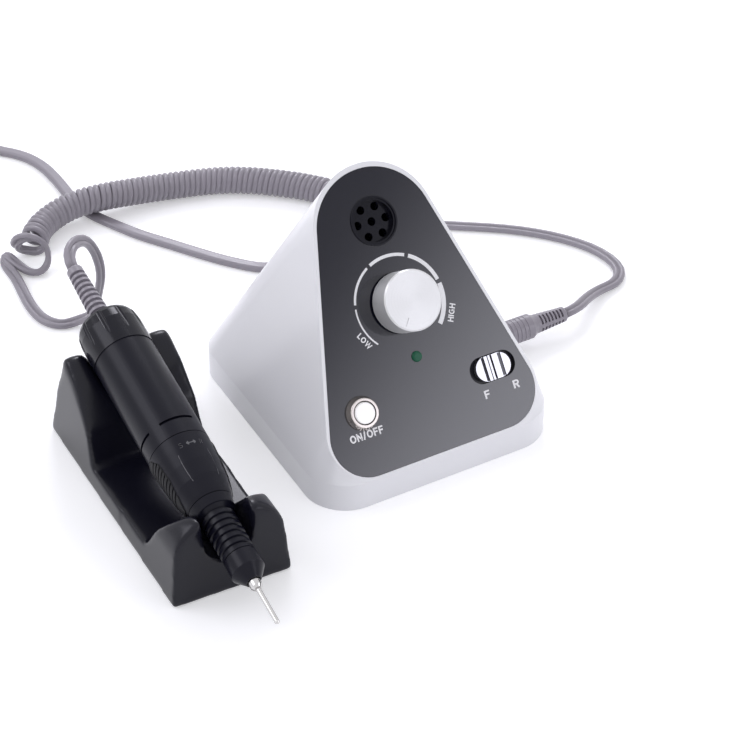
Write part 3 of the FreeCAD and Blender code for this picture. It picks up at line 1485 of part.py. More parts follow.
def biarc(first, first_way, last, last_way):
    """Two tangent arcs from point to point with these directions."""
    chord = last - first
    ways = first_way + last_way
    a = 2 * (1 - first_way.dot(last_way))
    b = 2 * chord.dot(ways)
    c = -chord.dot(chord)
    if abs(a) < 1e-9:
        reach = -c / b
    else:
        reach = (-b + math.sqrt(b * b - 4 * a * c)) / (2 * a)
    p = first + first_way * reach
    q = last - last_way * reach
    joint = (p + q) * 0.5
    edges = []
    for begin, way, end in ((first, first_way, joint), (joint, (q - p).normalize(), last)):
        span = end - begin
        if way.getAngle(span) < 1e-5:
            edges.append(Part.LineSegment(begin, end).toShape())
            continue
        inward = (span - way * span.dot(way)).normalize()
        radius = span.dot(span) / (2 * span.dot(inward))
        centre = begin + inward * radius
        middle = (begin + end) * 0.5 - centre
        side = 1 if way.dot(span) > 0 else -1
        edges.append(Part.Arc(begin, centre + middle.normalize() * radius * side, end).toShape())
    return edges


def wound(points, ways, start, end):
    """Wire of straight ends and biarcs through the given points."""
    edges = []
    if start is not None:
        edges.append(Part.LineSegment(start, points[0]).toShape())
    for i in range(len(points) - 1):
        edges += biarc(points[i], ways[i], points[i + 1], ways[i + 1])
    if end is not None:
        edges.append(Part.LineSegment(points[-1], end).toShape())
    return Part.Wire(edges)


def ring_place(turn):
    """Centre of the cord in the mains coil after this many turns."""
    layer_turns = float(S.ring_turns)
    low = float(S.ring_wire) / 2 + 0.05
    climb = float(S.ring_wire) + 0.5
    outer = float(S.ring_out)
    step = float(S.ring_step)
    if turn <= layer_turns:
        radius = outer - step * turn
    else:
        radius = outer - step * layer_turns + step * (turn - layer_turns)
    rise = (turn - layer_turns + 0.25) / 0.5
    rise = min(1, max(0, rise))
    rise = rise * rise * (3 - 2 * rise)
    angle = math.radians(RING_ANGLE) + 2 * math.pi * turn
    out = Vector(math.cos(angle), math.sin(angle), 0)
    return RING_MIDDLE + out * radius + Vector(0, 0, low + climb * rise)


def make_ring():
    start, spot, along = ring_start()
    total = 2 * float(S.ring_turns) - 0.6
    count = int(round(total * 5))
    points = [ring_place(total * i / count) for i in range(count + 1)]
    ways = []
    for i in range(count + 1):
        t = total * i / count
        way = ring_place(min(total, t + 0.01)) - ring_place(max(0, t - 0.01))
        ways.append(way.normalize())
    ways[0] = along
    flat = Vector(ways[-1].x, ways[-1].y, 0).normalize()
    ways[-1] = flat
    # The free end sinks to the height at which the mains plug lies on the table
    over = points[-1] + flat * (float(S.ring_wire) * 4)
    landing = over + flat * (float(S.ring_wire) * 4)
    landing.z = float(S.mains_plug_thick) / 2 + 0.05
    points += [over, landing]
    ways += [flat, flat]
    last = landing + flat * float(S.ring_wire)
    wire = wound(points, ways, start, last)
    radius = float(S.ring_wire) / 2
    print("mains coil", "length %.1f" % wire.Length,
          "least gap %.2f" % least_gap(wire, float(S.ring_wire), 60))
    round_tube("mains_coil", wire, radius)
    return last, ways[-1]


def least_gap(wire, wide, apart):
    """Least gap of a tube to itself, between points this far apart along it."""
    step = 1.0
    count = int(wire.Length / step)
    spots = wire.discretize(count + 1)
    skip = int(apart / step)
    cells = {}
    least = 1e9
    for i, spot in enumerate(spots):
        key = (int(spot.x // 10), int(spot.y // 10), int(spot.z // 10))
        for dx in (-1, 0, 1):
            for dy in (-1, 0, 1):
                for dz in (-1, 0, 1):
                    near = cells.get((key[0] + dx, key[1] + dy, key[2] + dz), ())
                    for j in near:
                        if i - j > skip:
                            least = min(least, spot.distanceToPoint(spots[j]))
        cells.setdefault(key, []).append(i)
    return least - wide


def make_plug(end, way):
    """Mains plug at the free end of the coil, lying on the table."""
    flat = Vector(way.x, way.y, 0).normalize()
    across = Vector(0, 0, 1).cross(flat)
    turn = Rotation(across, Vector(0, 0, 1), flat, "ZXY")
    half = S.mains_plug_wide / 2
    thick = S.mains_plug_thick / 2
    plug = new_body("mains_plug")
    outline = sketch_on(plug, "plug_face")
    rounded(outline, [
        (-half * 0.35, -thick * 0.6, 2), (half * 0.35, -thick * 0.6, 2),
        (half * 0.35, thick * 0.6, 2), (-half * 0.35, thick * 0.6, 2)])
    rear = sketch_on(plug, "plug_front", lift=S.mains_plug_long)
    rounded(rear, [(-half, -thick, 4), (half, -thick, 4), (half, thick, 4), (-half, thick, 4)])
    doc.recompute()
    loft = plug.newObject("PartDesign::AdditiveLoft", "plug_loft")
    loft.Profile = outline
    loft.Sections = [rear]
    loft.Ruled = True
    plug.Placement = Placement(end, turn)
    pins = new_body("mains_pins")
    pins.AllowCompound = True
    rounds = sketch_on(pins, "pin_outline", lift=S.mains_plug_long)
    for side in (-1, 1):
        circle(rounds, S.mains_pin_pitch / 2 * side, 0, S.mains_pin)
    pad(pins, "pins", rounds, S.mains_pin_long)
    pins.Placement = plug.Placement


def make_tie():
    """A band round the coil, away from its ends."""
    angle = math.radians(RING_ANGLE + 240)
    out = Vector(math.cos(angle), math.sin(angle), 0)
    along = Vector(-math.sin(angle), math.cos(angle), 0)
    outer = float(S.ring_out) + float(S.ring_wire) / 2 + 0.4
    inner = float(S.ring_out - S.ring_step * S.ring_turns) - float(S.ring_wire) / 2 - 0.4
    high = float(S.ring_wire) * 2 + 1.0
    thick = 0.9
    wide = 4
    low = RING_MIDDLE + out * (inner - thick) - along * (wide / 2)
    size_out = outer - inner + 2 * thick
    turn = Rotation(out, along, Vector(0, 0, 1), "ZXY")
    block = Part.makeBox(size_out, wide, high + thick)
    hole = Part.makeBox(size_out - 2 * thick, wide, high, Vector(thick, 0, 0))
    thing = doc.addObject("Part::Feature", "coil_tie")
    thing.Label = "coil_tie"
    thing.Shape = block.cut(hole)
    thing.Placement = Placement(low, turn)


CURL_ROUTE = (
    (61.2, 144.6, 6.9), (54.5, 153.3, 6.9), (45.0, 163.6, 6.9), (29.4, 177.0, 6.9),
    (13.8, 185.8, 6.9), (-10.4, 192.3, 7.4), (-29.0, 194.3, 9.2), (-46.0, 195.4, 11.0),
    (-60.5, 197.0, 10.2), (-73.5, 194.8, 8.0), (-82.9, 189.0, 7.0), (-87.8, 181.8, 6.95))


def make_curls():
    """The curly part of the handpiece's cord: one wire curled along its route."""
    line = Part.BSplineCurve()
    line.interpolate([Vector(*spot) for spot in CURL_ROUTE])
    wide = float(S.curl_wire)
    radius = float(S.curl_radius)
    first, last = line.FirstParameter, line.LastParameter
    total = line.length(first, last)
    marks = 400
    places = [line.parameterAtDistance(total * i / marks, first) for i in range(marks + 1)]
    places[-1] = last
    start = 1.3 * wide
    stop = total - 1.3 * wide

    def at(distance):
        share = min(max(distance / total * marks, 0), marks - 1e-6)
        i = int(share)
        u = places[i] + (places[i + 1] - places[i]) * (share - i)
        spot = line.value(u)
        way = Vector(*line.tangent(u)[0]) if isinstance(line.tangent(u), tuple) else None
        return spot, way, u

    def bend(distance):
        one = at(distance - 1)[1]
        two = at(distance + 1)[1]
        return one.getAngle(two) / 2

    # The pitch grows in a bend, so that the curls stay apart on its inside.
    phase = [0.0]
    step = (stop - start) / 2000
    for i in range(2000):
        middle = start + step * (i + 0.5)
        pitch = (wide + float(S.curl_gap)) / (1 - radius * bend(middle))
        phase.append(phase[-1] + step / pitch)
    curls = int(phase[-1])
    scale = curls / phase[-1]

    def distance_at(turn):
        target = turn / scale
        low, high = 0, 2000
        while high - low > 1:
            middle = (low + high) // 2
            if phase[middle] <= target:
                low = middle
            else:
                high = middle
        share = (target - phase[low]) / (phase[high] - phase[low])
        return start + step * (low + share)

    def curl_point(turn):
        spot, way, u = at(distance_at(turn))
        side = Vector(0, 0, 1).cross(way).normalize()
        up = way.cross(side)
        grow = min(1, turn / 1.0, (curls - turn) / 1.0)
        grow = max(0, grow)
        grow = grow * grow * (3 - 2 * grow)
        angle = 2 * math.pi * turn
        return spot + side * (radius * grow * math.cos(angle)) + up * (
            radius * grow * math.sin(angle))

    turns = []
    t = 0.0
    while t < curls - 1e-6:
        turns.append(t)
        fine = t < 1.49 or t > curls - 1.51
        t += 0.25 if fine else 0.5
    turns.append(float(curls))
    points = [curl_point(t) for t in turns]
    ways = []
    for t in turns:
        ahead = curl_point(min(curls, t + 0.004))
        behind = curl_point(max(0, t - 0.004))
        ways.append((ahead - behind).normalize())
    ways[0] = at(start)[1]
    ways[-1] = at(stop)[1]
    head = points[0] - ways[0] * start
    tail = points[-1] + ways[-1] * (total - stop)
    wire = wound(points, ways, head, tail)
    print("curly cord", "curls %d" % curls, "length %.1f" % wire.Length,
          "least gap %.2f" % least_gap(wire, wide, 12))
    round_tube("curly_cord", wire, wide / 2)
    return head, tail, ways[0], ways[-1]


def make_leads(plug_exit, boot_exit, curls):
    head, tail, head_way, tail_way = curls
    low = float(S.lead_radius) + 0.05
    route = [plug_exit]
    for x, y, z in (
            (112, 1.2, 9.2), (121.5, 8.2, 6.6), (133.5, 15.2, 2.9), (146.5, 17.2, low),
            (154.3, 27, low), (152.7, 45, low), (141.5, 64, low), (125.5, 80.5, low),
            (106, 94.5, low), (88, 107, low), (75, 121.5, 3.2), (67.5, 135, 6.2)):
        route.append(Vector(x, y, z))
    route.append(head - head_way * 6)
    route.append(head)
    wire = bent_wire(route, "plug lead")
    round_tube("plug_lead", wire, float(S.lead_radius))
    route = [boot_exit]
    way = hand_along
    route.append(boot_exit + way * 7)
    for x, y, z in (
            (-104, 92, 67), (-94.5, 98.5, 62), (-89, 100, 50.5), (-87.2, 100.5, 38),
            (-89.6, 102, 25), (-89.8, 108, 11), (-90, 118.4, low), (-103, 118.6, low),
            (-107.9, 129.5, low), (-108, 141, low), (-105.5, 153.5, low),
            (-102.3, 168, low), (-102.2, 186, 2.2), (-94.8, 187, 4.8),
            (-96.8, 175, 4.8), (-96.8, 162.5, 3.6), (-89.5, 162, 3.6), (-89.5, 170, 5.6)):
        route.append(Vector(x, y, z))
    route.append(tail + tail_way * 5)
    route.append(tail)
    wire = bent_wire(route, "handpiece lead")
    round_tube("handpiece_lead", wire, float(S.lead_radius))


# Build
make_housing()
make_base()
make_panel()
make_bit_holder()
make_knob()
make_potentiometer()
make_lamp()
make_button()
make_slide()
make_inside()
plug_exit = make_socket()
gland_exit = make_gland()
make_cradle()
make_nose()
make_sleeve()
make_tube()
boot_exit = make_tail()
motor_stop = make_motor()
make_spindle(motor_stop)
make_mains(gland_exit)
coil_end, coil_way = make_ring()
make_plug(coil_end, coil_way)
make_tie()
curls = make_curls()
make_leads(plug_exit, boot_exit, curls)
doc.recompute()

NODES = (
    "housing_shell", "base_plate", "unit_feet", "base_screws", "front_panel",
    "bit_holder", "speed_knob", "knob_core", "pot_shaft", "pot_body", "pot_nut",
    "power_led", "led_holder", "on_off_bezel", "on_off_cap", "on_off_switch",
    "direction_cap", "direction_frame", "direction_switch", "control_board",
    "board_pillars", "board_parts", "transformer_core", "transformer_winding",
    "transformer_bracket", "handpiece_socket", "socket_ring", "mains_gland",
    "cradle_body", "cradle_base", "cradle_feet", "nose_cap", "nose_grip",
    "twist_sleeve", "sleeve_grips", "body_tube", "end_cap", "cord_boot",
    "motor_can", "rotor", "front_bearing", "rear_bearing", "spindle_shaft",
    "collet", "drill_bit", "plug_body", "plug_pin", "plug_lead", "curly_cord",
    "handpiece_lead", "mains_cord", "mains_coil", "coil_tie", "mains_plug",
    "mains_pins")

for thing in doc.Objects:
    if "Invalid" in thing.State or "Error" in thing.State:
        raise ValueError("%s failed: %s" % (thing.Label, thing.State))

finished = {}
for name in NODES:
    thing = doc.getObjectsByLabel(name)[0]
    shape = thing.Shape
    if shape.isNull() or not shape.isValid() or shape.Volume <= 0:
        raise ValueError(name + " has no valid solid")
    finished[name] = shape

os.makedirs("parts", exist_ok=True)
for name, shape in finished.items():
    shape.exportStep("parts/%s.step" % name)
print(len(finished), "pieces written")
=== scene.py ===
import json
import math

import bpy
from bpy.props import FloatProperty, FloatVectorProperty, IntProperty, PointerProperty
from mathutils import Matrix, Vector


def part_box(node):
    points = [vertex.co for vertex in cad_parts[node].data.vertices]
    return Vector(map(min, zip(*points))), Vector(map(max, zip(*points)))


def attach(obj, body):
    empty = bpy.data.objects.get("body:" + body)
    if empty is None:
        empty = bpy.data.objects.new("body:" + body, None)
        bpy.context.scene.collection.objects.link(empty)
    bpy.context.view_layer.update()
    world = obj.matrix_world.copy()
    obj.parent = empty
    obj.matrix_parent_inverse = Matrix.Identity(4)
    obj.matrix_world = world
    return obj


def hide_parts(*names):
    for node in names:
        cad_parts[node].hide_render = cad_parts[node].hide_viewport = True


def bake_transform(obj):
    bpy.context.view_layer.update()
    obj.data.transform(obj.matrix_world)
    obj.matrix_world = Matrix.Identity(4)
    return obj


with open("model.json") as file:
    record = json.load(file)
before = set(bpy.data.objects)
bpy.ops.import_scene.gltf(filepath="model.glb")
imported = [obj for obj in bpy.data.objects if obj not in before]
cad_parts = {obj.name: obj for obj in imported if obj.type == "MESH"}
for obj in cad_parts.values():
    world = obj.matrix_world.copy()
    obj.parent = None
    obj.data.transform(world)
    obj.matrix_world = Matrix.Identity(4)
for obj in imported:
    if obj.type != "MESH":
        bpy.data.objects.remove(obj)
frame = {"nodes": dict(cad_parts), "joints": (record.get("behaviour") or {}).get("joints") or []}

bl_info = {
    "name": "Nail drill machine",
    "version": (1, 0, 0),
    "blender": (4, 5, 0),
    "location": "3D View > Sidebar > Nail drill",
    "description": "Dresses a nail drill: control unit, cradle, handpiece and cords",
    "category": "Add Mesh",
}

MM = 0.001
JOINT = {joint["name"]: joint for joint in frame["joints"]}

# The sloping panel: its knob's spot, and the ways across it, up it and out of it
KNOB_SPOT = Vector(JOINT["speed_turn"]["pos_m"])
PANEL_OUT = -Vector(JOINT["speed_turn"]["axis"]).normalized()
PANEL_ACROSS = Vector((1, 0, 0))
PANEL_UP = PANEL_OUT.cross(PANEL_ACROSS)

# The handpiece: its nose, and the ways along it to the rear, to its left and up
NOSE = Vector(JOINT["chuck_twist"]["pos_m"])
HAND_ALONG = Vector(JOINT["chuck_twist"]["axis"]).normalized()
HAND_LEFT = Vector((0, 0, 1)).cross(HAND_ALONG).normalized()
HAND_UP = HAND_ALONG.cross(HAND_LEFT)

# Control points of the cords' routes, in millimetres
PLUG_LEAD_ROUTE = (
    (103.8, 0, 9.6), (112, 1.2, 9.2), (121.5, 8.2, 6.6), (133.5, 15.2, 2.9),
    (146.5, 17.2, 1.85), (154.3, 27, 1.85), (152.7, 45, 1.85), (141.5, 64, 1.85),
    (125.5, 80.5, 1.85), (106, 94.5, 1.85), (88, 107, 1.85), (75, 121.5, 3.2),
    (67.5, 135, 6.2))
CURL_ROUTE = (
    (61.2, 144.6, 6.9), (54.5, 153.3, 6.9), (45.0, 163.6, 6.9), (29.4, 177.0, 6.9),
    (13.8, 185.8, 6.9), (-10.4, 192.3, 7.4), (-29.0, 194.3, 9.2), (-46.0, 195.4, 11.0),
    (-60.5, 197.0, 10.2), (-73.5, 194.8, 8.0), (-82.9, 189.0, 7.0), (-87.8, 181.8, 7.2))
HAND_LEAD_ROUTE = (
    (-94.0, 184.0, 3.2), (-98.6, 181.0, 8.6), (-97.2, 177.8, 14.4), (-93.1, 174.0, 16.8),
    (-88.2, 170.6, 15.0), (-85.9, 168.4, 9.6), (-87.8, 165.2, 4.0), (-93.2, 162.9, 1.9),
    (-98.0, 166.2, 2.0), (-100.6, 172.4, 3.4), (-102.4, 178.4, 4.9), (-103.9, 181.6, 4.8),
    (-105.7, 179.4, 2.8), (-105.2, 173.0, 1.85), (-105.0, 166, 1.85), (-106.3, 156.5, 1.85),
    (-107.9, 145.7, 1.85), (-108.6, 134.9, 1.85), (-107, 125.8, 1.85),
    (-101.7, 119.1, 1.85), (-94, 118.8, 1.85),
    (-89.8, 108, 11), (-89.6, 102, 25), (-87.2, 100.5, 38), (-89, 100, 50.5),
    (-94.5, 98.5, 62), (-104, 92, 67), (-109.97, 84.1, 65.15), (-110.2, 77.26, 63.61))
MAINS_ROUTE = (
    (18, 91, 8), (18, 99, 7.4), (13.5, 107, 4.4), (3, 111.5, 1.85), (-9, 125, 1.85),
    (-19, 139.5, 1.85), (-28.3, 154.3, 1.85), (-37.5, 168, 1.85), (-44, 181.5, 1.85),
    (-51, 196.5, 1.85), (-53.4, 213, 1.85), (-52.6, 231, 1.85), (-53.5, 248.5, 1.85),
    (-58.5, 262.5, 1.85), (-69.5, 274.5, 1.85))
# The mains cord's coil: its middle, where the cord enters it, where the band sits, its reach
RING_MIDDLE = (-125, 285)
RING_ANGLE = 25
BAND_ANGLE = 240
RING_REACH = 50 * MM


class NailDrillSizes(bpy.types.PropertyGroup):
    """Sizes and colours that a user may change."""

    strand: FloatProperty(
        name="Cord strand", description="Diameter of each of the handpiece cord's two strands",
        default=2.9 * MM, min=1 * MM, max=5 * MM, unit="LENGTH", subtype="DISTANCE")
    curl: FloatProperty(
        name="Curl radius", description="From the curls' axis to the middle of the cord",
        default=5.65 * MM, min=3 * MM, max=12 * MM, unit="LENGTH", subtype="DISTANCE")
    curls: IntProperty(
        name="Curls", description="Turns of the twin cord in the curly part",
        default=30, min=5, max=60)
    mains_wide: FloatProperty(
        name="Mains cord width", description="Width of the flat mains cord",
        default=6.1 * MM, min=3 * MM, max=10 * MM, unit="LENGTH", subtype="DISTANCE")
    mains_thick: FloatProperty(
        name="Mains cord thickness", description="Thickness of the flat mains cord",
        default=3.6 * MM, min=2 * MM, max=8 * MM, unit="LENGTH", subtype="DISTANCE")
    print_thick: FloatProperty(
        name="Print thickness", description="Thickness of the printed marks",
        default=0.05 * MM, min=0.01 * MM, max=0.5 * MM, unit="LENGTH", subtype="DISTANCE")
    scale_radius: FloatProperty(
        name="Speed scale radius", description="Middle of the printed scale round the knob",
        default=21.2 * MM, min=15 * MM, max=30 * MM, unit="LENGTH", subtype="DISTANCE")
    voxel: FloatProperty(
        name="Cradle detail", description="Mesh size of the cradle's moulding",
        default=0.9 * MM, min=0.5 * MM, max=3 * MM, unit="LENGTH", subtype="DISTANCE")
    housing_colour: FloatVectorProperty(
        name="Housing", description="Colour of the white housing",
        default=(0.85, 0.85, 0.88), min=0, max=1, subtype="COLOR")
    cord_colour: FloatVectorProperty(
        name="Cords", description="Colour of the grey cords",
        default=(0.26, 0.24, 0.275), min=0, max=1, subtype="COLOR")
    lamp_colour: FloatVectorProperty(
        name="Lamp", description="Colour of the power lamp",
        default=(0.0, 0.085, 0.04), min=0, max=1, subtype="COLOR")
    floor_colour: FloatVectorProperty(
        name="Floor", description="Colour of the floor",
        default=(0.86, 0.86, 0.88), min=0, max=1, subtype="COLOR")


# Finishes

BANDS_PER_UNIT = 3.2  # bands that the Wave texture draws across one unit at scale 1


def link(tree, source, output, target, entry):
    tree.links.new(source.outputs[output], target.inputs[entry])


def new_material(name):
    """An empty material with its surface shader, and where to add to it."""
    material = bpy.data.materials.get(name)
    if material is not None:
        bpy.data.materials.remove(material)
    material = bpy.data.materials.new(name)
    material.use_nodes = True
    tree = material.node_tree
    shader = tree.nodes["Principled BSDF"]
    place = tree.nodes.new("ShaderNodeTexCoord")
    return material, tree, shader, place


def noise(tree, place, scale, detail=4.0):
    node = tree.nodes.new("ShaderNodeTexNoise")
    node.inputs["Scale"].default_value = scale
    node.inputs["Detail"].default_value = detail
    link(tree, place, "Object", node, "Vector")
    return node


def two_tone(tree, pattern, dark, pale, shader):
    """Colours the shader between two tones, as the pattern goes."""
    blend = tree.nodes.new("ShaderNodeMix")
    blend.data_type = "RGBA"
    link(tree, pattern, "Fac", blend, "Factor")
    blend.inputs["A"].default_value = (*dark, 1)
    blend.inputs["B"].default_value = (*pale, 1)
    tree.links.new(blend.outputs["Result"], shader.inputs["Base Color"])


def node_of(material, kind):
    """The material's node of this kind."""
    return next(node for node in material.node_tree.nodes if node.type == kind)


def math_node(tree, kind, operation):
    """A Math or Vector Math node that does this operation."""
    node = tree.nodes.new(kind)
    node.operation = operation
    return node


def finish(name, colour, spread=0.08, rough=0.4, rough_spread=0.08, metal=0.0, coat=0.0,
           coat_rough=0.1, grain=900, bump=0.02, patch=60, specular=0.5):
    """A moulded, coated or turned finish with its own colour variation, roughness and grain."""
    material, tree, shader, place = new_material(name)
    shader.inputs["Metallic"].default_value = metal
    shader.inputs["Coat Weight"].default_value = coat
    shader.inputs["Coat Roughness"].default_value = coat_rough
    shader.inputs["Specular IOR Level"].default_value = specular
    clouds = noise(tree, place, patch)
    two_tone(tree, clouds, [c * (1 - spread) for c in colour],
             [min(1, c * (1 + spread)) for c in colour], shader)
    fine = noise(tree, place, grain, 6.0)
    ramp = tree.nodes.new("ShaderNodeMapRange")
    ramp.inputs["To Min"].default_value = rough - rough_spread
    ramp.inputs["To Max"].default_value = rough + rough_spread
    link(tree, fine, "Fac", ramp, "Value")
    link(tree, ramp, "Result", shader, "Roughness")
    relief = tree.nodes.new("ShaderNodeBump")
    relief.inputs["Strength"].default_value = bump
    relief.inputs["Distance"].default_value = 0.0005
    link(tree, fine, "Fac", relief, "Height")
    link(tree, relief, "Normal", shader, "Normal")
    return material


def turned_metal(name, colour, middle, axis, rough=0.25, groove=0.00022, anisotropy=0.7):
    """Turned metal: fine rings round an axis, and light that stretches across them."""
    material = finish(name, colour, spread=0.03, rough=rough, rough_spread=0.05, metal=0.86,
                      grain=2500, bump=0.01)
    tree = material.node_tree
    shader = node_of(material, "BSDF_PRINCIPLED")
    away = math_node(tree, "ShaderNodeVectorMath", "SUBTRACT")
    away.inputs[1].default_value = middle
    link(tree, node_of(material, "TEX_COORD"), "Object", away, 0)
    ring = math_node(tree, "ShaderNodeVectorMath", "CROSS_PRODUCT")
    ring.inputs[0].default_value = axis
    link(tree, away, "Vector", ring, 1)
    reach = math_node(tree, "ShaderNodeVectorMath", "LENGTH")
    link(tree, ring, "Vector", reach, 0)
    rings = math_node(tree, "ShaderNodeMath", "MULTIPLY")
    rings.inputs[1].default_value = 1 / groove
    link(tree, reach, "Value", rings, 0)
    wave = math_node(tree, "ShaderNodeMath", "SINE")
    link(tree, rings, "Value", wave, 0)
    relief = node_of(material, "BUMP")
    relief.inputs["Strength"].default_value = 0.03
    link(tree, wave, "Value", relief, "Height")
    shader.inputs["Anisotropic"].default_value = anisotropy
    shader.inputs["Anisotropic Rotation"].default_value = 0.25
    way = math_node(tree, "ShaderNodeVectorMath", "NORMALIZE")
    link(tree, ring, "Vector", way, 0)
    link(tree, way, "Vector", shader, "Tangent")
    return material


def banded(name, dark, pale, pitch, direction, rough=0.5, metal=0.0):
    """Stacked sheets or wound wire: narrow bands across a direction."""
    material = finish(name, dark, rough=rough, metal=metal)
    tree = material.node_tree
    wave = tree.nodes.new("ShaderNodeTexWave")
    wave.bands_direction = direction
    wave.inputs["Scale"].default_value = 1 / pitch / BANDS_PER_UNIT
    wave.inputs["Distortion"].default_value = 0.4
    link(tree, node_of(material, "TEX_COORD"), "Object", wave, "Vector")
    two_tone(tree, wave, dark, pale, node_of(material, "BSDF_PRINCIPLED"))
    return material


# Which finish each carried-over piece takes
FINISH_OF = {
    "white plastic": ("housing_shell",),
    "pillar plastic": ("board_pillars",),
    "glossy panel": ("front_panel",),
    "glossy black": ("bit_holder", "direction_frame", "end_cap"),
    "knob core": ("knob_core",),
    "turned aluminium": ("speed_knob",),
    "button metal": ("on_off_cap",),
    "bezel metal": ("on_off_bezel",),
    "slide cap": ("direction_cap",),
    "green lamp": ("power_led",),
    "black plastic": ("base_plate", "led_holder", "on_off_switch", "direction_switch",
                      "cradle_base", "cradle_body"),
    "chip plastic": ("board_parts",),
    "black coating": ("nose_cap", "nose_grip", "twist_sleeve", "body_tube"),
    "grip rubber": ("sleeve_grips",),
    "foot rubber": ("unit_feet", "cradle_feet"),
    "turned steel": ("pot_shaft", "pot_nut", "spindle_shaft", "front_bearing", "rear_bearing",
                     "motor_can", "collet", "drill_bit"),
    "plated steel": ("base_screws", "pot_body", "transformer_bracket", "socket_ring"),
    "brass": ("handpiece_socket", "plug_pin", "mains_pins"),
    "laminated iron": ("transformer_core", "rotor"),
    "wound copper": ("transformer_winding",),
    "board green": ("control_board",),
    "cord jacket": ("mains_gland", "cord_boot", "plug_body"),
    "tie plastic": ("coil_tie",),
    "mains plug plastic": ("mains_plug",),
}


def make_finishes(sizes):
    black = (0.006, 0.006, 0.012)
    made = {
        "white plastic": finish("white plastic", sizes.housing_colour, 0.012, 0.32, 0.05,
                                coat=0.25, coat_rough=0.15, grain=700, bump=0.012, patch=14),
        "pillar plastic": finish("pillar plastic", (0.7, 0.7, 0.68), 0.03, 0.45),
        "glossy panel": finish("glossy panel", (0.004, 0.004, 0.011), 0.1, 0.12, 0.015,
                               coat=0.8, coat_rough=0.06, grain=300, bump=0.002, patch=30),
        "glossy black": finish("glossy black", (0.004, 0.004, 0.009), 0.15, 0.2, 0.05,
                               grain=600, bump=0.004, specular=0.25),
        "knob core": finish("knob core", (0.006, 0.006, 0.007), 0.15, 0.35, 0.05, bump=0.01),
        "turned aluminium": turned_metal("turned aluminium", (0.73, 0.73, 0.74),
                                         KNOB_SPOT, PANEL_OUT, rough=0.42),
        "button metal": finish("button metal", (0.78, 0.77, 0.76), 0.03, 0.35, 0.06, metal=0.9,
                               grain=1800, bump=0.01),
        "bezel metal": finish("bezel metal", (0.62, 0.57, 0.54), 0.05, 0.12, 0.04, metal=1.0,
                              grain=1500, bump=0.005),
        "slide cap": finish("slide cap", (0.5, 0.5, 0.53), 0.04, 0.14, 0.05, metal=0.9,
                            grain=900, bump=0.006),
        "green lamp": finish("green lamp", sizes.lamp_colour, 0.15, 0.16, 0.04, grain=400,
                             bump=0.01, specular=0.3),
        "black plastic": finish("black plastic", black, 0.15, 0.25, 0.03, grain=1300,
                                bump=0.005, patch=40, specular=0.3),
        "chip plastic": finish("chip plastic", (0.02, 0.02, 0.022), 0.3, 0.5, grain=600),
        "black coating": finish("black coating", (0.005, 0.005, 0.011), 0.12, 0.3, 0.04,
                                grain=3000, bump=0.015, patch=50, specular=0.2),
        "grip rubber": finish("grip rubber", (0.010, 0.010, 0.012), 0.2, 0.5, 0.08,
                              grain=1600, bump=0.05, specular=0.2),
        "foot rubber": finish("foot rubber", (0.02, 0.02, 0.02), 0.2, 0.75, grain=1200,
                              bump=0.06),
        "turned steel": finish("turned steel", (0.62, 0.61, 0.60), 0.05, 0.2, 0.06, metal=1.0,
                               grain=2200, bump=0.012),
        "plated steel": finish("plated steel", (0.6, 0.6, 0.62), 0.06, 0.3, 0.08, metal=1.0,
                               grain=1200, bump=0.015),
        "brass": finish("brass", (0.75, 0.55, 0.26), 0.06, 0.25, 0.06, metal=1.0, grain=1500,
                        bump=0.01),
        "laminated iron": banded("laminated iron", (0.09, 0.09, 0.1), (0.2, 0.2, 0.21),
                                 0.7 * MM, "Y", 0.5, 0.8),
        "wound copper": banded("wound copper", (0.28, 0.1, 0.04), (0.6, 0.28, 0.12),
                               0.9 * MM, "Z", 0.3, 0.9),
        "board green": finish("board green", (0.02, 0.11, 0.05), 0.2, 0.4, grain=500),
        "cord jacket": finish("cord jacket", sizes.cord_colour, 0.07, 0.36, 0.06, coat=0.3,
                              coat_rough=0.25, grain=1500, bump=0.03, patch=45),
        "tie plastic": finish("tie plastic", (0.015, 0.015, 0.016), 0.2, 0.45, grain=800),
        "mains plug plastic": finish("mains plug plastic", (0.02, 0.02, 0.021), 0.15, 0.4,
                                     grain=1100, bump=0.03),
        "white print": finish("white print", (0.88, 0.88, 0.9), 0.04, 0.5, 0.06, grain=2600,
                              bump=0.03),
        # Painted shade: black and grey for the strips laid in the slide cap's grip grooves
        "painted groove shade black": finish("painted groove shade black", (0.012, 0.012, 0.02), 0.1, 0.25, 0.05,
                               grain=900, bump=0.006, specular=0.3),
        "painted groove shade grey": finish("painted groove shade grey", (0.15, 0.15, 0.17), 0.1, 0.3, 0.05, grain=900,
                              bump=0.006, specular=0.3),
        "grey print": finish("grey print", (0.09, 0.09, 0.1), 0.1, 0.45, 0.06, grain=2600,
                             bump=0.02),
    }
    return made


def set_finish(piece, name):
    """Gives a piece this finish in every material slot."""
    material = bpy.data.materials[name]
    if not piece.material_slots:
        piece.data.materials.append(material)
    for entry in piece.material_slots:
        entry.material = material


# Modelling helpers

def only(piece):
    """Leaves this piece alone selected, and active."""
    bpy.ops.object.select_all(action="DESELECT")
    piece.select_set(True)
    bpy.context.view_layer.objects.active = piece
    return piece


def named(name):
    """The object that was just added, under this name."""
    piece = bpy.context.object
    piece.name = name
    piece.data.name = name
    return piece


def piece_of(name, corners, faces):
    """A new piece from its corners and faces, alone selected."""
    mesh = bpy.data.meshes.new(name)
    mesh.from_pydata(corners, [], faces)
    piece = bpy.data.objects.new(name, mesh)
    bpy.context.collection.objects.link(piece)
    return only(piece)


def face_outwards(piece):
    """Turns the faces of a closed piece outwards."""
    bpy.ops.object.mode_set(mode="EDIT")
    bpy.ops.mesh.select_all(action="SELECT")
    bpy.ops.mesh.normals_make_consistent(inside=False)
    bpy.ops.object.mode_set(mode="OBJECT")
    return piece


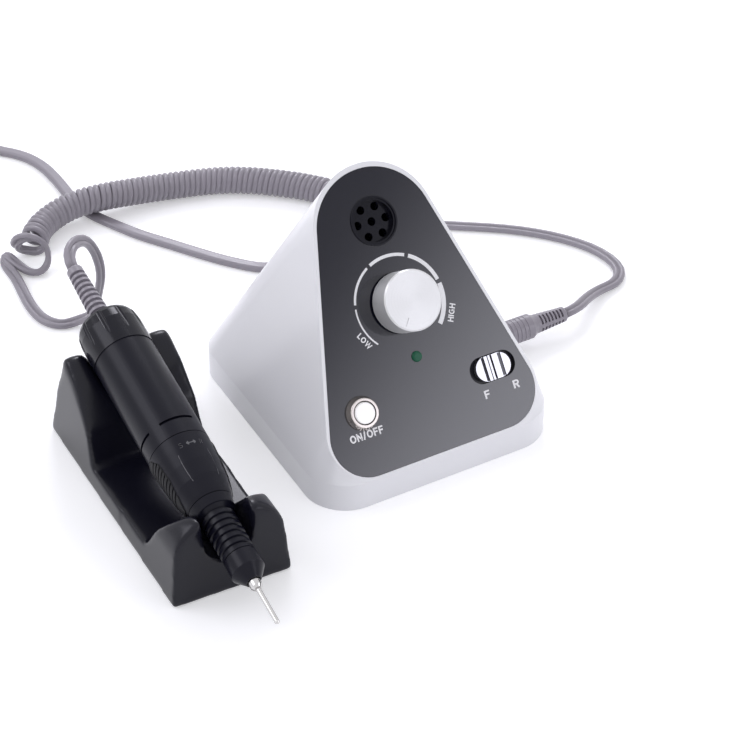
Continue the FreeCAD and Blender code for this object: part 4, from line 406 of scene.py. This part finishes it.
def thicken(piece, thick, offset):
    """Gives a flat piece its thickness: 0 to both sides, 1 outwards."""
    only(piece)
    wall = piece.modifiers.new("thickness", "SOLIDIFY")
    wall.thickness = thick
    wall.offset = offset
    bpy.ops.object.modifier_apply(modifier=wall.name)
    return piece


def settle(piece, place=None):
    """Puts a piece's place into its mesh and leaves its object at the origin."""
    matrix = piece.matrix_basis.copy()
    if place is not None:
        matrix = place @ matrix
    piece.data.transform(matrix)
    piece.matrix_basis = Matrix.Identity(4)
    return piece


def frame_at(spot, across, up, out):
    """The matrix that takes flat drawings to a spot with these ways."""
    matrix = Matrix((across, up, out)).transposed().to_4x4()
    matrix.translation = spot
    return matrix


def panel_place(x, up, out=0.0):
    """Where a drawing lies on the panel, from the knob's spot in millimetres."""
    spot = KNOB_SPOT + (PANEL_ACROSS * x + PANEL_UP * up + PANEL_OUT * out) * MM
    return frame_at(spot, PANEL_ACROSS, PANEL_UP, PANEL_OUT)


def smooth_line(name, route, finer=6):
    """Points of the smooth NURBS line that has the route as its control points."""
    curve = bpy.data.curves.new(name, "CURVE")
    curve.dimensions = "3D"
    curve.resolution_u = finer
    spline = curve.splines.new("NURBS")
    spline.points.add(len(route) - 1)
    for point, spot in zip(spline.points, route):
        point.co = (*spot, 1)
    spline.order_u = 3
    spline.use_endpoint_u = True
    holder = bpy.data.objects.new(name, curve)
    mesh = bpy.data.meshes.new_from_object(holder)
    points = [vertex.co.copy() for vertex in mesh.vertices]
    bpy.data.meshes.remove(mesh)
    bpy.data.objects.remove(holder)
    bpy.data.curves.remove(curve)
    return points


def along(points, count):
    """This many equally spaced spots on a line of points, and the line's way at each."""
    marks = [0.0]
    for a, b in zip(points, points[1:]):
        marks.append(marks[-1] + (b - a).length)
    spots, ways, k = [], [], 0
    for i in range(count):
        target = marks[-1] * i / (count - 1)
        while k < len(points) - 2 and marks[k + 1] < target:
            k += 1
        step = points[k + 1] - points[k]
        share = (target - marks[k]) / max(step.length, 1e-12)
        spots.append(points[k] + step * share)
        ways.append(step.normalized())
    return spots, ways


def ways_of(points):
    """The line's way at each of its points."""
    last = len(points) - 1
    return [(points[min(i + 1, last)] - points[max(i - 1, 0)]).normalized()
            for i in range(last + 1)]


def square_to(vector, way):
    return (vector - way * vector.dot(way)).normalized()


def carry_side(side, way, pull=0.12):
    """The wide direction carried on along a cord, turning slowly to lie level."""
    side = square_to(side, way)
    level = way.cross(Vector((0, 0, 1)))
    if level.length > 0.3:
        level = level.normalized()
        if level.dot(side) < 0:
            level = -level
        side = square_to(side * (1 - pull) + level * pull, way)
    return side


def sweep(name, points, sides, outline):
    """A closed mesh of this outline swept along points, its first axis along the sides."""
    ways = ways_of(points)
    rows, faces = [], []
    for spot, way, side in zip(points, ways, sides):
        up = way.cross(side)
        rows.append([spot + side * a + up * b for a, b in outline])
    count = len(outline)
    for i in range(len(rows) - 1):
        for j in range(count):
            k = (j + 1) % count
            faces.append((i * count + j, i * count + k, (i + 1) * count + k,
                          (i + 1) * count + j))
    faces.append(tuple(reversed(range(count))))
    faces.append(tuple(range((len(rows) - 1) * count, len(rows) * count)))
    piece = face_outwards(piece_of(name, [corner for row in rows for corner in row], faces))
    bpy.ops.object.shade_smooth()
    return piece


def twin_outline(strand, steps=11):
    """Two round strands side by side, as one outline."""
    radius = strand / 2
    outline = []
    for middle, first in ((radius, -165), (-radius, 15)):
        for i in range(steps):
            angle = math.radians(first + 330 * i / (steps - 1))
            outline.append((middle + radius * math.cos(angle), radius * math.sin(angle)))
    return outline


def flat_outline(wide, thick, steps=6):
    """A flat cord with round edges and a shallow groove along its middle."""
    radius = thick / 2
    reach = wide / 2 - radius
    outline = []
    for sign, first in ((1, -90), (-1, 90)):
        for i in range(steps + 1):
            angle = math.radians(first + 180 * i / steps)
            outline.append((sign * reach + radius * math.cos(angle), radius * math.sin(angle)))
        outline.append((0, sign * radius * 0.8))
    return outline


def level_sides(points):
    """Wide directions that lie level along a cord."""
    ways = ways_of(points)
    side = ways[0].cross(Vector((0, 0, 1))).normalized()
    sides = []
    for way in ways:
        side = carry_side(side, way, 0.5)
        sides.append(side)
    return sides


def hull(spots):
    """The outline that a tight band takes round flat spots, anticlockwise."""
    ordered = sorted(set(spots))
    halves = []
    for line in (ordered, ordered[::-1]):
        chain = []
        for x, y in line:
            while len(chain) > 1:
                (ax, ay), (bx, by) = chain[-2:]
                if (bx - ax) * (y - ay) - (by - ay) * (x - ax) > 0:
                    break
                chain.pop()
            chain.append((x, y))
        halves += chain[:-1]
    return halves


def grown(loop, gap):
    """The same outline, this much further out."""
    corners = [Vector(spot) for spot in loop]
    larger = []
    for before, spot, after in zip(corners[-1:] + corners, corners, corners[1:] + corners[:1]):
        way = ((spot - before).normalized() + (after - spot).normalized()).normalized()
        larger.append(spot + Vector((way.y, -way.x)) * gap)
    return larger


# Cords

class NAILDRILL_OT_handpiece_cord(bpy.types.Operator):
    """Lays the handpiece's twin cord: lead, curls, and lead up to the handpiece"""

    bl_idname = "nail_drill.handpiece_cord"
    bl_label = "Handpiece cord"

    def execute(self, context):
        sizes = context.scene.nail_drill
        turns = sizes.curls
        per_turn, fine = 16, 2000
        axis = smooth_line("curl axis", [Vector(spot) * MM for spot in CURL_ROUTE], 12)
        count = turns * per_turn + 1
        loose, share = 1.0, 0.048  # turns that have come loose, and their share of the axis
        spots, ways = along(axis, fine)
        curls, marks = [], []
        for i in range(count):
            turn = i / per_turn
            ease = max(0.0, (turn - turns + loose) / loose)
            reach = (1 - share) * min(turn, turns - loose) / (turns - loose) + share * ease
            mark = round(reach * (fine - 1))
            spot, way = spots[mark], ways[mark]
            marks.append(mark)
            side = Vector((0, 0, 1)).cross(way).normalized()
            up = way.cross(side)
            grow = min(1.0, 0.2 + turn * 1.4) + 0.08 * ease
            angle = -2 * math.pi * turn - math.pi / 2
            curls.append(spot + (side * math.cos(angle) + up * math.sin(angle))
                         * sizes.curl * grow)
        route = [Vector(spot) * MM for spot in PLUG_LEAD_ROUTE]
        first = len(route)
        route += curls
        last = len(route) - 1
        route += [Vector(spot) * MM for spot in HAND_LEAD_ROUTE]
        points = smooth_line("handpiece cord line", route, 3)
        near = lambda target: min(range(len(points)),
                                  key=lambda k: (points[k] - target).length_squared)
        first = near(route[first + 2])
        last = near(route[last - 2])
        line_ways = ways_of(points)
        sides = [None] * len(points)
        span = last - first
        for k in range(first, last + 1):
            way = ways[marks[round((k - first) / span * (count - 1))]]
            sides[k] = square_to(way, line_ways[k])
        for k in range(first - 1, -1, -1):
            sides[k] = carry_side(sides[k + 1], line_ways[k])
        for k in range(last + 1, len(points)):
            sides[k] = carry_side(sides[k - 1], line_ways[k])
        cord = sweep("handpiece_cord", points, sides, twin_outline(sizes.strand))
        set_finish(cord, "cord jacket")
        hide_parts("plug_lead", "curly_cord", "handpiece_lead")
        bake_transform(cord)
        return {"FINISHED"}


class NAILDRILL_OT_mains_cord(bpy.types.Operator):
    """Lays the flat mains cord and winds its put-away length into a coil"""

    bl_idname = "nail_drill.mains_cord"
    bl_label = "Mains cord"

    def execute(self, context):
        sizes = context.scene.nail_drill
        route = [Vector(spot) * MM for spot in MAINS_ROUTE]
        total, inwards, per_turn = 5.4, 3, 14  # turns in all, turns in the lower layer
        low, climb, outer, step = 2.55, 5.5, 40.0, 6.8
        count = round(total * per_turn)
        for i in range(count + 1):
            turn = total * i / count
            radius = outer - step * (inwards - abs(inwards - turn))
            rise = min(1, max(0, (turn - inwards + 0.25) / 0.5))
            rise = rise * rise * (3 - 2 * rise)
            angle = math.radians(RING_ANGLE) + 2 * math.pi * turn
            route.append(Vector((RING_MIDDLE[0] + radius * math.cos(angle),
                                 RING_MIDDLE[1] + radius * math.sin(angle),
                                 low + climb * rise)) * MM)
        flat = route[-1] - route[-2]
        flat.z = 0
        flat.normalize()
        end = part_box("mains_plug")
        plug_height = (end[0].z + end[1].z) / 2
        over = route[-1] + flat * 20 * MM
        landing = over + flat * 20 * MM
        landing.z = plug_height
        route += [over, landing, landing + flat * 5 * MM]
        points = smooth_line("mains cord line", route, 4)
        cord = sweep("mains_lead", points, level_sides(points),
                     flat_outline(sizes.mains_wide, sizes.mains_thick))
        set_finish(cord, "cord jacket")
        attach(cord, "unit")
        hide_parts("mains_cord", "mains_coil")
        self.tie(cord)
        return {"FINISHED"}

    def tie(self, cord):
        """Straps the coil with a band that fits its windings closely."""
        angle = math.radians(RING_ANGLE + BAND_ANGLE)
        middle = Vector((*RING_MIDDLE, 0)) * MM
        out = Vector((math.cos(angle), math.sin(angle), 0))
        tangent = Vector((-out.y, out.x, 0))
        spots = []
        for vertex in cord.data.vertices:
            away = vertex.co - middle
            if abs(away.dot(tangent)) < 3 * MM and 0 < away.dot(out) < RING_REACH:
                spots.append((away.dot(out), away.z))
        loop = hull(spots)
        gap, thick, half = 0.1 * MM, 0.9 * MM, 2.0 * MM
        lowest = 0.2 * MM
        rings = []
        for grow, side in ((gap, -half), (gap, half), (gap + thick, half),
                           (gap + thick, -half)):
            rings.append([middle + out * a + tangent * side + Vector((0, 0, max(b, lowest)))
                          for a, b in grown(loop, grow)])
        count = len(loop)
        faces = []
        for r in range(4):
            for i in range(count):
                k, n = (i + 1) % count, (r + 1) % 4
                faces.append((r * count + i, r * count + k, n * count + k, n * count + i))
        band = piece_of("coil_band", [spot for ring in rings for spot in ring], faces)
        face_outwards(band)
        bpy.ops.object.shade_smooth_by_angle(angle=math.radians(40))
        set_finish(band, "tie plastic")
        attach(band, "unit")
        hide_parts("coil_tie")


# Printed marks, and painted shade in the slide cap's grooves

LETTER_THICK = 0.05 * MM


def bow(x, y, wide, high, first, last, steps=10):
    """Points of an arc of a letter, from one angle to another."""
    angles = [math.radians(first + (last - first) * i / steps) for i in range(steps + 1)]
    return [(x + wide * math.cos(a), y + high * math.sin(a)) for a in angles]


# The strokes of each letter, on a height of 1: its width, then the middle lines
LETTERS = {
    "O": (0.86, [bow(0.43, 0.5, 0.33, 0.4, 0, 360, 28)]),
    "N": (0.76, [((0.1, 0), (0.1, 1)), ((0.1, 0.9), (0.66, 0.1)), ((0.66, 0), (0.66, 1))]),
    "/": (0.46, [((0.1, -0.02), (0.36, 1.02))]),
    "F": (0.64, [((0.1, 0), (0.1, 1)), ((0.2, 0.9), (0.64, 0.9)), ((0.2, 0.5), (0.58, 0.5))]),
    "L": (0.62, [((0.1, 0), (0.1, 1)), ((0.2, 0.1), (0.62, 0.1))]),
    "W": (1.2, [((0.1, 1), (0.34, 0.1), (0.6, 0.92), (0.86, 0.1), (1.1, 1))]),
    "H": (0.76, [((0.1, 0), (0.1, 1)), ((0.2, 0.52), (0.56, 0.52)), ((0.66, 0), (0.66, 1))]),
    "I": (0.2, [((0.1, 0), (0.1, 1))]),
    "G": (0.84, [bow(0.43, 0.5, 0.33, 0.4, 45, 330, 22) + [(0.74, 0.12)],
                 ((0.48, 0.45), (0.84, 0.45)), ((0.74, 0.35), (0.74, 0.05))]),
    "R": (0.72, [((0.1, 0), (0.1, 1)),
                 [(0.2, 0.9), (0.42, 0.9)] + bow(0.42, 0.69, 0.2, 0.21, 80, -80, 8)
                 + [(0.42, 0.48), (0.2, 0.48)], ((0.4, 0.4), (0.62, 0))]),
    "S": (0.7, [bow(0.36, 0.7, 0.25, 0.2, 25, 240, 12)
                + bow(0.34, 0.3, 0.27, 0.2, 75, -155, 12)]),
}


def flat_text(name, words, width, height, gap=0.12, stroke=0.2):
    """Bold flat lettering of this size, its middle on the origin."""
    corners, faces, start = [], [], 0.0
    for letter in words:
        wide, lines = LETTERS[letter]
        for line in lines:
            first = len(corners)
            spots = [Vector(spot) for spot in line]
            for k, spot in enumerate(spots):
                before = (spot - spots[max(k - 1, 0)]).normalized() if k else None
                after = ((spots[k + 1] - spot).normalized() if k + 1 < len(spots) else None)
                if k == 0 and (spots[0] - spots[-1]).length < 1e-6:
                    before = (spots[-1] - spots[-2]).normalized()
                if k + 1 == len(spots) and (spots[0] - spots[-1]).length < 1e-6:
                    after = (spots[1] - spots[0]).normalized()
                way = ((before or after) + (after or before)).normalized()
                out = Vector((-way.y, way.x)) * stroke / 2
                slant = max(0.45, way.dot(after or before))
                for side in (1, -1):
                    corner = spot + out * side / slant
                    corners.append((start + corner.x, corner.y, 0))
                if k:
                    here = first + 2 * k
                    faces.append((here - 2, here - 1, here + 1, here))
        start += wide + gap
    start -= gap
    corners = [((x / start - 0.5) * width, (y - 0.5) * height, 0) for x, y, z in corners]
    return face_outwards(thicken(piece_of(name, corners, faces), LETTER_THICK, 0))


def finish_mark(piece, material="white print", body="unit"):
    set_finish(piece, material)
    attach(piece, body)


class NAILDRILL_OT_panel_words(bpy.types.Operator):
    """Prints the words and letters on the sloping panel"""

    bl_idname = "nail_drill.panel_words"
    bl_label = "Panel lettering"

    def execute(self, context):
        for name, words, x, up, width, height, turn in (
                ("mark_on_off", "ON/OFF", -33.8, -49.6, 16.4, 3.5, 0),
                ("mark_low", "LOW", -21.4, -11.0, 7.9, 2.65, -63),
                ("mark_high", "HIGH", 22.4, -11.5, 8.1, 2.8, 63.5),
                ("mark_forward", "F", 27.1, -51.0, 2.6, 3.7, 0),
                ("mark_reverse", "R", 42.2, -50.9, 3.1, 3.7, 0)):
            piece = flat_text(name, words, width * MM, height * MM)
            lean = Matrix.Rotation(math.radians(turn), 4, "Z")
            settle(piece, panel_place(x, up, 0.03) @ lean)
            finish_mark(piece)
        return {"FINISHED"}


class NAILDRILL_OT_speed_scale(bpy.types.Operator):
    """Prints the five bars of the speed scale round the knob"""

    bl_idname = "nail_drill.speed_scale"
    bl_label = "Speed scale"

    def execute(self, context):
        sizes = context.scene.nail_drill
        middle = sizes.scale_radius
        for i in range(5):
            first, last = ((222.5, 170.5), (166.2, 117.2), (113.4, 64.6), (60.9, 11.9),
                           (7.6, -43.9))[i]
            thick = (0.7 + 0.36 * i) * MM
            bpy.ops.object.select_all(action="DESELECT")
            bpy.ops.mesh.primitive_circle_add(vertices=360, radius=middle - thick / 2)
            piece = named("scale_bar_%d" % (i + 1))
            bpy.ops.object.mode_set(mode="EDIT")
            bpy.ops.mesh.select_all(action="DESELECT")
            bpy.ops.object.mode_set(mode="OBJECT")
            for vertex in piece.data.vertices:
                angle = math.degrees(math.atan2(vertex.co.y, vertex.co.x)) % 360
                inside = (first - angle) % 360 <= (first - last)
                vertex.select = not inside
            bpy.ops.object.mode_set(mode="EDIT")
            bpy.ops.mesh.delete(type="VERT")
            bpy.ops.mesh.select_all(action="SELECT")
            bpy.ops.mesh.extrude_region_move()
            grow = (middle + thick / 2) / (middle - thick / 2)
            bpy.ops.transform.resize(value=(grow, grow, 1), center_override=(0, 0, 0))
            bpy.ops.object.mode_set(mode="OBJECT")
            thicken(piece, sizes.print_thick, 1)
            settle(piece, panel_place(0, 0, 0.04))
            finish_mark(piece)
        return {"FINISHED"}


class NAILDRILL_OT_slide_groove_shade(bpy.types.Operator):
    """Lays painted shade in the grip grooves of the sliding cap: dark and grey strips"""

    bl_idname = "nail_drill.slide_grooves"
    bl_label = "Slide groove shade"

    def execute(self, context):
        radius, straight, inset = 5.6, 3.05, 0.12  # the cap's round end, and play to its edge
        cap_place, groove_floor, shade_sheet_thick = (33.5, -40.3), 0.42, 0.05 * MM
        # The strips are sheets of painted shade, black and grey, on the floors of the cap's grip
        # grooves
        for k, (middle, width, material) in enumerate((
                (-4.1, 1.5, "painted groove shade black"), (-1.6, 0.5, "painted groove shade grey"),
                (0.1, 1.0, "painted groove shade black"), (4.3, 1.7, "painted groove shade grey"))):
            bpy.ops.object.select_all(action="DESELECT")
            bpy.ops.mesh.primitive_plane_add(size=2)
            piece = named("slide_groove_%d" % (k + 1))
            for vertex in piece.data.vertices:
                x = middle + vertex.co.x * (width / 2 - 0.03)
                bulge = max(0.0, abs(x) - straight)
                reach = math.sqrt(radius ** 2 - bulge ** 2) - inset
                vertex.co = (x * MM, vertex.co.y * reach * MM, 0)
            thicken(piece, shade_sheet_thick, 1)
            settle(piece, panel_place(*cap_place, groove_floor))
            finish_mark(piece, material, "direction")
        return {"FINISHED"}


def sleeve_place(angle, station, radius):
    """Where a drawing lies on the twist sleeve, its up towards the rear."""
    turn = math.radians(angle)
    out = HAND_LEFT * math.cos(turn) + HAND_UP * math.sin(turn)
    across = HAND_ALONG.cross(out)
    spot = NOSE + (HAND_ALONG * station + out * radius) * MM
    return frame_at(spot, across, HAND_ALONG, out)


class NAILDRILL_OT_sleeve_marks(bpy.types.Operator):
    """Marks the twist sleeve with its two letters, an arrow and fine lines"""

    bl_idname = "nail_drill.sleeve_marks"
    bl_label = "Sleeve marks"

    def execute(self, context):
        sleeve = frame["nodes"]["twist_sleeve"]
        letters = 66.8  # how far up from the nose the letters lie
        for name, words, angle, height in (
                ("mark_stop", "S", 77, 2.8), ("mark_run", "R", 117, 2.4)):
            piece = flat_text(name, words, height * 0.7 * MM, height * MM, stroke=0.14)
            self.wrap(piece, angle, letters, sleeve)
        bpy.ops.object.select_all(action="DESELECT")
        bpy.ops.mesh.primitive_grid_add(x_subdivisions=10, y_subdivisions=2, size=1 * MM)
        arrow = named("mark_arrow")
        for vertex in arrow.data.vertices:
            x, y = vertex.co.x / MM, vertex.co.y / MM
            tip = max(0.0, abs(x) - 0.3) / 0.2
            vertex.co.x = x * 5.0 * MM
            vertex.co.y = y * (0.5 + 1.6 * (1 - tip) * (abs(x) > 0.25)) * MM
        self.wrap(arrow, 97, letters, sleeve)
        for k, (angle, station) in enumerate(((65, 55.9), (123, 55.6))):
            bpy.ops.object.select_all(action="DESELECT")
            bpy.ops.mesh.primitive_grid_add(x_subdivisions=2, y_subdivisions=20, size=1)
            line = named("sleeve_line_%d" % (k + 1))
            for vertex in line.data.vertices:
                bend = (1 - 4 * vertex.co.y ** 2) * (0.5 if k else -0.5)
                vertex.co.x = (vertex.co.x * 0.3 + bend) * MM
                vertex.co.y *= 14.4 * MM
            self.wrap(line, angle, station, sleeve)
        return {"FINISHED"}

    def wrap(self, piece, angle, station, sleeve):
        """Lays a flat mark on the sleeve's surface."""
        settle(piece, sleeve_place(angle, station, 15.5))
        only(piece)
        wrap = piece.modifiers.new("wrap", "SHRINKWRAP")
        wrap.target = sleeve
        wrap.wrap_method = "NEAREST_SURFACEPOINT"
        wrap.wrap_mode = "ABOVE_SURFACE"
        wrap.offset = 0.04 * MM
        bpy.ops.object.modifier_apply(modifier=wrap.name)
        finish_mark(piece, "grey print", "sleeve")


# Cradle

class NAILDRILL_OT_cradle(bpy.types.Operator):
    """Gives the cradle's moulding its rolled edges"""

    bl_idname = "nail_drill.cradle"
    bl_label = "Cradle"

    def execute(self, context):
        sizes = context.scene.nail_drill
        mesh = frame["nodes"]["cradle_body"].data.copy()
        piece = bpy.data.objects.new("cradle_moulding", mesh)
        context.collection.objects.link(piece)
        only(piece)
        bpy.ops.object.mode_set(mode="EDIT")
        bpy.ops.mesh.select_all(action="SELECT")
        bpy.ops.mesh.remove_doubles(threshold=0.002 * MM)
        bpy.ops.object.mode_set(mode="OBJECT")
        remesh = piece.modifiers.new("grid", "REMESH")
        remesh.mode = "VOXEL"
        remesh.voxel_size = sizes.voxel
        bpy.ops.object.modifier_apply(modifier=remesh.name)
        self.soften(piece, "rolled edges", 11)
        low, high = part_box("cradle_body")
        tops = piece.vertex_groups.new(name="horn tops")
        for vertex in piece.data.vertices:
            rise = (vertex.co.z - low[2]) / (high[2] - low[2])
            tops.add([vertex.index], min(1, max(0, (rise - 0.55) / 0.3)), "REPLACE")
        self.soften(piece, "round tops", 70, tops.name)
        bpy.ops.object.shade_smooth()
        set_finish(piece, "black plastic")
        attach(piece, "unit")
        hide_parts("cradle_body")
        return {"FINISHED"}

    def soften(self, piece, name, rounds, group=""):
        """Rounds a piece off, or only its vertices in this group."""
        smooth = piece.modifiers.new(name, "SMOOTH")
        smooth.factor = 0.5
        smooth.iterations = rounds
        smooth.vertex_group = group
        bpy.ops.object.modifier_apply(modifier=smooth.name)


class NAILDRILL_OT_finishes(bpy.types.Operator):
    """Makes the finishes and gives each carried-over piece its own"""

    bl_idname = "nail_drill.finishes"
    bl_label = "Finishes"

    def execute(self, context):
        make_finishes(context.scene.nail_drill)
        for name, nodes in FINISH_OF.items():
            for node in nodes:
                set_finish(frame["nodes"][node], name)
        return {"FINISHED"}


# Stage

FLOOR_LIFT = 0.32    # added to the floor for the rays that see it
LIGHT_LEVEL = 0.78   # the surroundings' strength as light, 1 being white
FOCAL_PIXELS = 2687  # the photograph's focal length, in pixels of its width
IMAGE_WIDE = 750
SENSOR_WIDE = 36


def soft_box(name, place, target, size, dim, bright, across=(0.0, 0.0), reach=(-1, 1)):
    """A lit panel out of the camera's sight, from dim to bright along one way across it."""
    bpy.ops.object.select_all(action="DESELECT")
    bpy.ops.mesh.primitive_plane_add(size=size)
    panel = named(name)
    panel.location = place
    panel.rotation_euler = (Vector(place) - Vector(target)).to_track_quat("Z", "Y").to_euler()
    panel.visible_camera = False
    panel.visible_shadow = False
    material = bpy.data.materials.new(name)
    material.use_nodes = True
    tree = material.node_tree
    tree.nodes.clear()
    output = tree.nodes.new("ShaderNodeOutputMaterial")
    glow = tree.nodes.new("ShaderNodeEmission")
    glow.inputs["Color"].default_value = (0.92, 0.92, 1.0, 1)
    ramp = tree.nodes.new("ShaderNodeMapRange")
    ramp.inputs["From Min"].default_value = reach[0]
    ramp.inputs["From Max"].default_value = reach[1]
    ramp.inputs["To Min"].default_value = dim
    ramp.inputs["To Max"].default_value = bright
    spread = math_node(tree, "ShaderNodeVectorMath", "DOT_PRODUCT")
    spread.inputs[1].default_value = (*across, 0)
    link(tree, tree.nodes.new("ShaderNodeTexCoord"), "Object", spread, 0)
    link(tree, spread, "Value", ramp, "Value")
    if bright > dim:
        ramp.interpolation_type = "SMOOTHSTEP"
    link(tree, ramp, "Result", glow, "Strength")
    link(tree, glow, "Emission", output, "Surface")
    panel.data.materials.append(material)
    return panel


def seen_rays(tree):
    """1 for rays from the camera, and from gloss and glass, which show the background."""
    rays = tree.nodes.new("ShaderNodeLightPath")
    direct = math_node(tree, "ShaderNodeMath", "MAXIMUM")
    link(tree, rays, "Is Camera Ray", direct, 0)
    link(tree, rays, "Is Glossy Ray", direct, 1)
    seen = math_node(tree, "ShaderNodeMath", "MAXIMUM")
    link(tree, direct, "Value", seen, 0)
    link(tree, rays, "Is Transmission Ray", seen, 1)
    return seen


class NAILDRILL_OT_stage(bpy.types.Operator):
    """Sets the floor, the soft light, the white surroundings and the camera"""

    bl_idname = "nail_drill.stage"
    bl_label = "Stage"

    def execute(self, context):
        scene = context.scene
        sizes = scene.nail_drill
        bpy.ops.object.select_all(action="DESELECT")
        bpy.ops.mesh.primitive_circle_add(vertices=96, radius=4, fill_type="NGON")
        floor = named("floor")
        floor.data.materials.append(self.floor_finish(sizes.floor_colour))
        self.surroundings(scene)
        soft_box("front softbox", (0.508, -1.03, 0.716), (0, -0.023, 0.069), 0.66, 0.42, 3.4,
                 (0.41, -0.91), (-0.1, 0.17))
        soft_box("rear softbox", (0.467, 0.926, 0.876), (-0.08, -0.03, 0.012), 0.4, 10.4, 10.4)
        soft_box("left softbox", (-0.88, 0.58, 0.97), (-0.1, 0.0, 0.05), 0.7, 3.4, 3.4)
        camera = bpy.data.objects.new("camera", bpy.data.cameras.new("camera"))
        context.collection.objects.link(camera)
        camera.location = (-0.4782, -0.8366, 0.7689)
        sight = Vector((-0.0124, -0.0233, 0.0340)) - camera.location
        camera.rotation_euler = sight.to_track_quat("-Z", "Y").to_euler()
        camera.data.sensor_width = SENSOR_WIDE
        camera.data.lens = FOCAL_PIXELS / IMAGE_WIDE * SENSOR_WIDE
        camera.data.clip_start = 0.05
        camera.data.clip_end = 50
        scene.camera = camera
        scene.view_settings.view_transform = "Standard"
        return {"FINISHED"}

    def floor_finish(self, colour):
        """White floor that keeps shadows and is lifted to white for the eye."""
        material = finish("floor", colour, 0.01, 0.7, 0.05, grain=40, bump=0.0, patch=3,
                          specular=0.2)
        tree = material.node_tree
        shader = tree.nodes["Principled BSDF"]
        output = tree.nodes["Material Output"]
        lift = math_node(tree, "ShaderNodeMath", "MULTIPLY")
        lift.inputs[1].default_value = FLOOR_LIFT
        link(tree, seen_rays(tree), "Value", lift, 0)
        glow = tree.nodes.new("ShaderNodeEmission")
        link(tree, lift, "Value", glow, "Strength")
        both = tree.nodes.new("ShaderNodeAddShader")
        link(tree, shader, "BSDF", both, 0)
        link(tree, glow, "Emission", both, 1)
        link(tree, both, "Shader", output, "Surface")
        return material

    def surroundings(self, scene):
        world = bpy.data.worlds.new("surroundings")
        scene.world = world
        world.use_nodes = True
        tree = world.node_tree
        sky = tree.nodes["Background"]
        sky.inputs["Color"].default_value = (0.97, 0.97, 1.0, 1)
        level = tree.nodes.new("ShaderNodeMapRange")
        level.inputs["To Min"].default_value = LIGHT_LEVEL
        level.inputs["To Max"].default_value = 1.0
        link(tree, seen_rays(tree), "Value", level, "Value")
        link(tree, level, "Result", sky, "Strength")


class NAILDRILL_PT_panel(bpy.types.Panel):
    """Lists the steps that dress the nail drill"""

    bl_idname = "NAILDRILL_PT_panel"
    bl_label = "Nail drill"
    bl_space_type = "VIEW_3D"
    bl_region_type = "UI"
    bl_category = "Nail drill"

    def draw(self, context):
        sizes = context.scene.nail_drill
        for name in sizes.__annotations__:
            self.layout.prop(sizes, name)
        for step in STEPS:
            self.layout.operator(step.bl_idname)


STEPS = (
    NAILDRILL_OT_stage,
    NAILDRILL_OT_finishes,
    NAILDRILL_OT_handpiece_cord,
    NAILDRILL_OT_mains_cord,
    NAILDRILL_OT_cradle,
    NAILDRILL_OT_panel_words,
    NAILDRILL_OT_speed_scale,
    NAILDRILL_OT_slide_groove_shade,
    NAILDRILL_OT_sleeve_marks,
)


def register():
    bpy.utils.register_class(NailDrillSizes)
    for step in STEPS:
        bpy.utils.register_class(step)
    bpy.utils.register_class(NAILDRILL_PT_panel)
    bpy.types.Scene.nail_drill = PointerProperty(type=NailDrillSizes)


def unregister():
    del bpy.types.Scene.nail_drill
    bpy.utils.unregister_class(NAILDRILL_PT_panel)
    for step in reversed(STEPS):
        bpy.utils.unregister_class(step)
    bpy.utils.unregister_class(NailDrillSizes)


def main():
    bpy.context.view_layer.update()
    register()
    for step in STEPS:
        group, name = step.bl_idname.split(".")
        getattr(getattr(bpy.ops, group), name)()


if __name__ == "__main__":
    main()
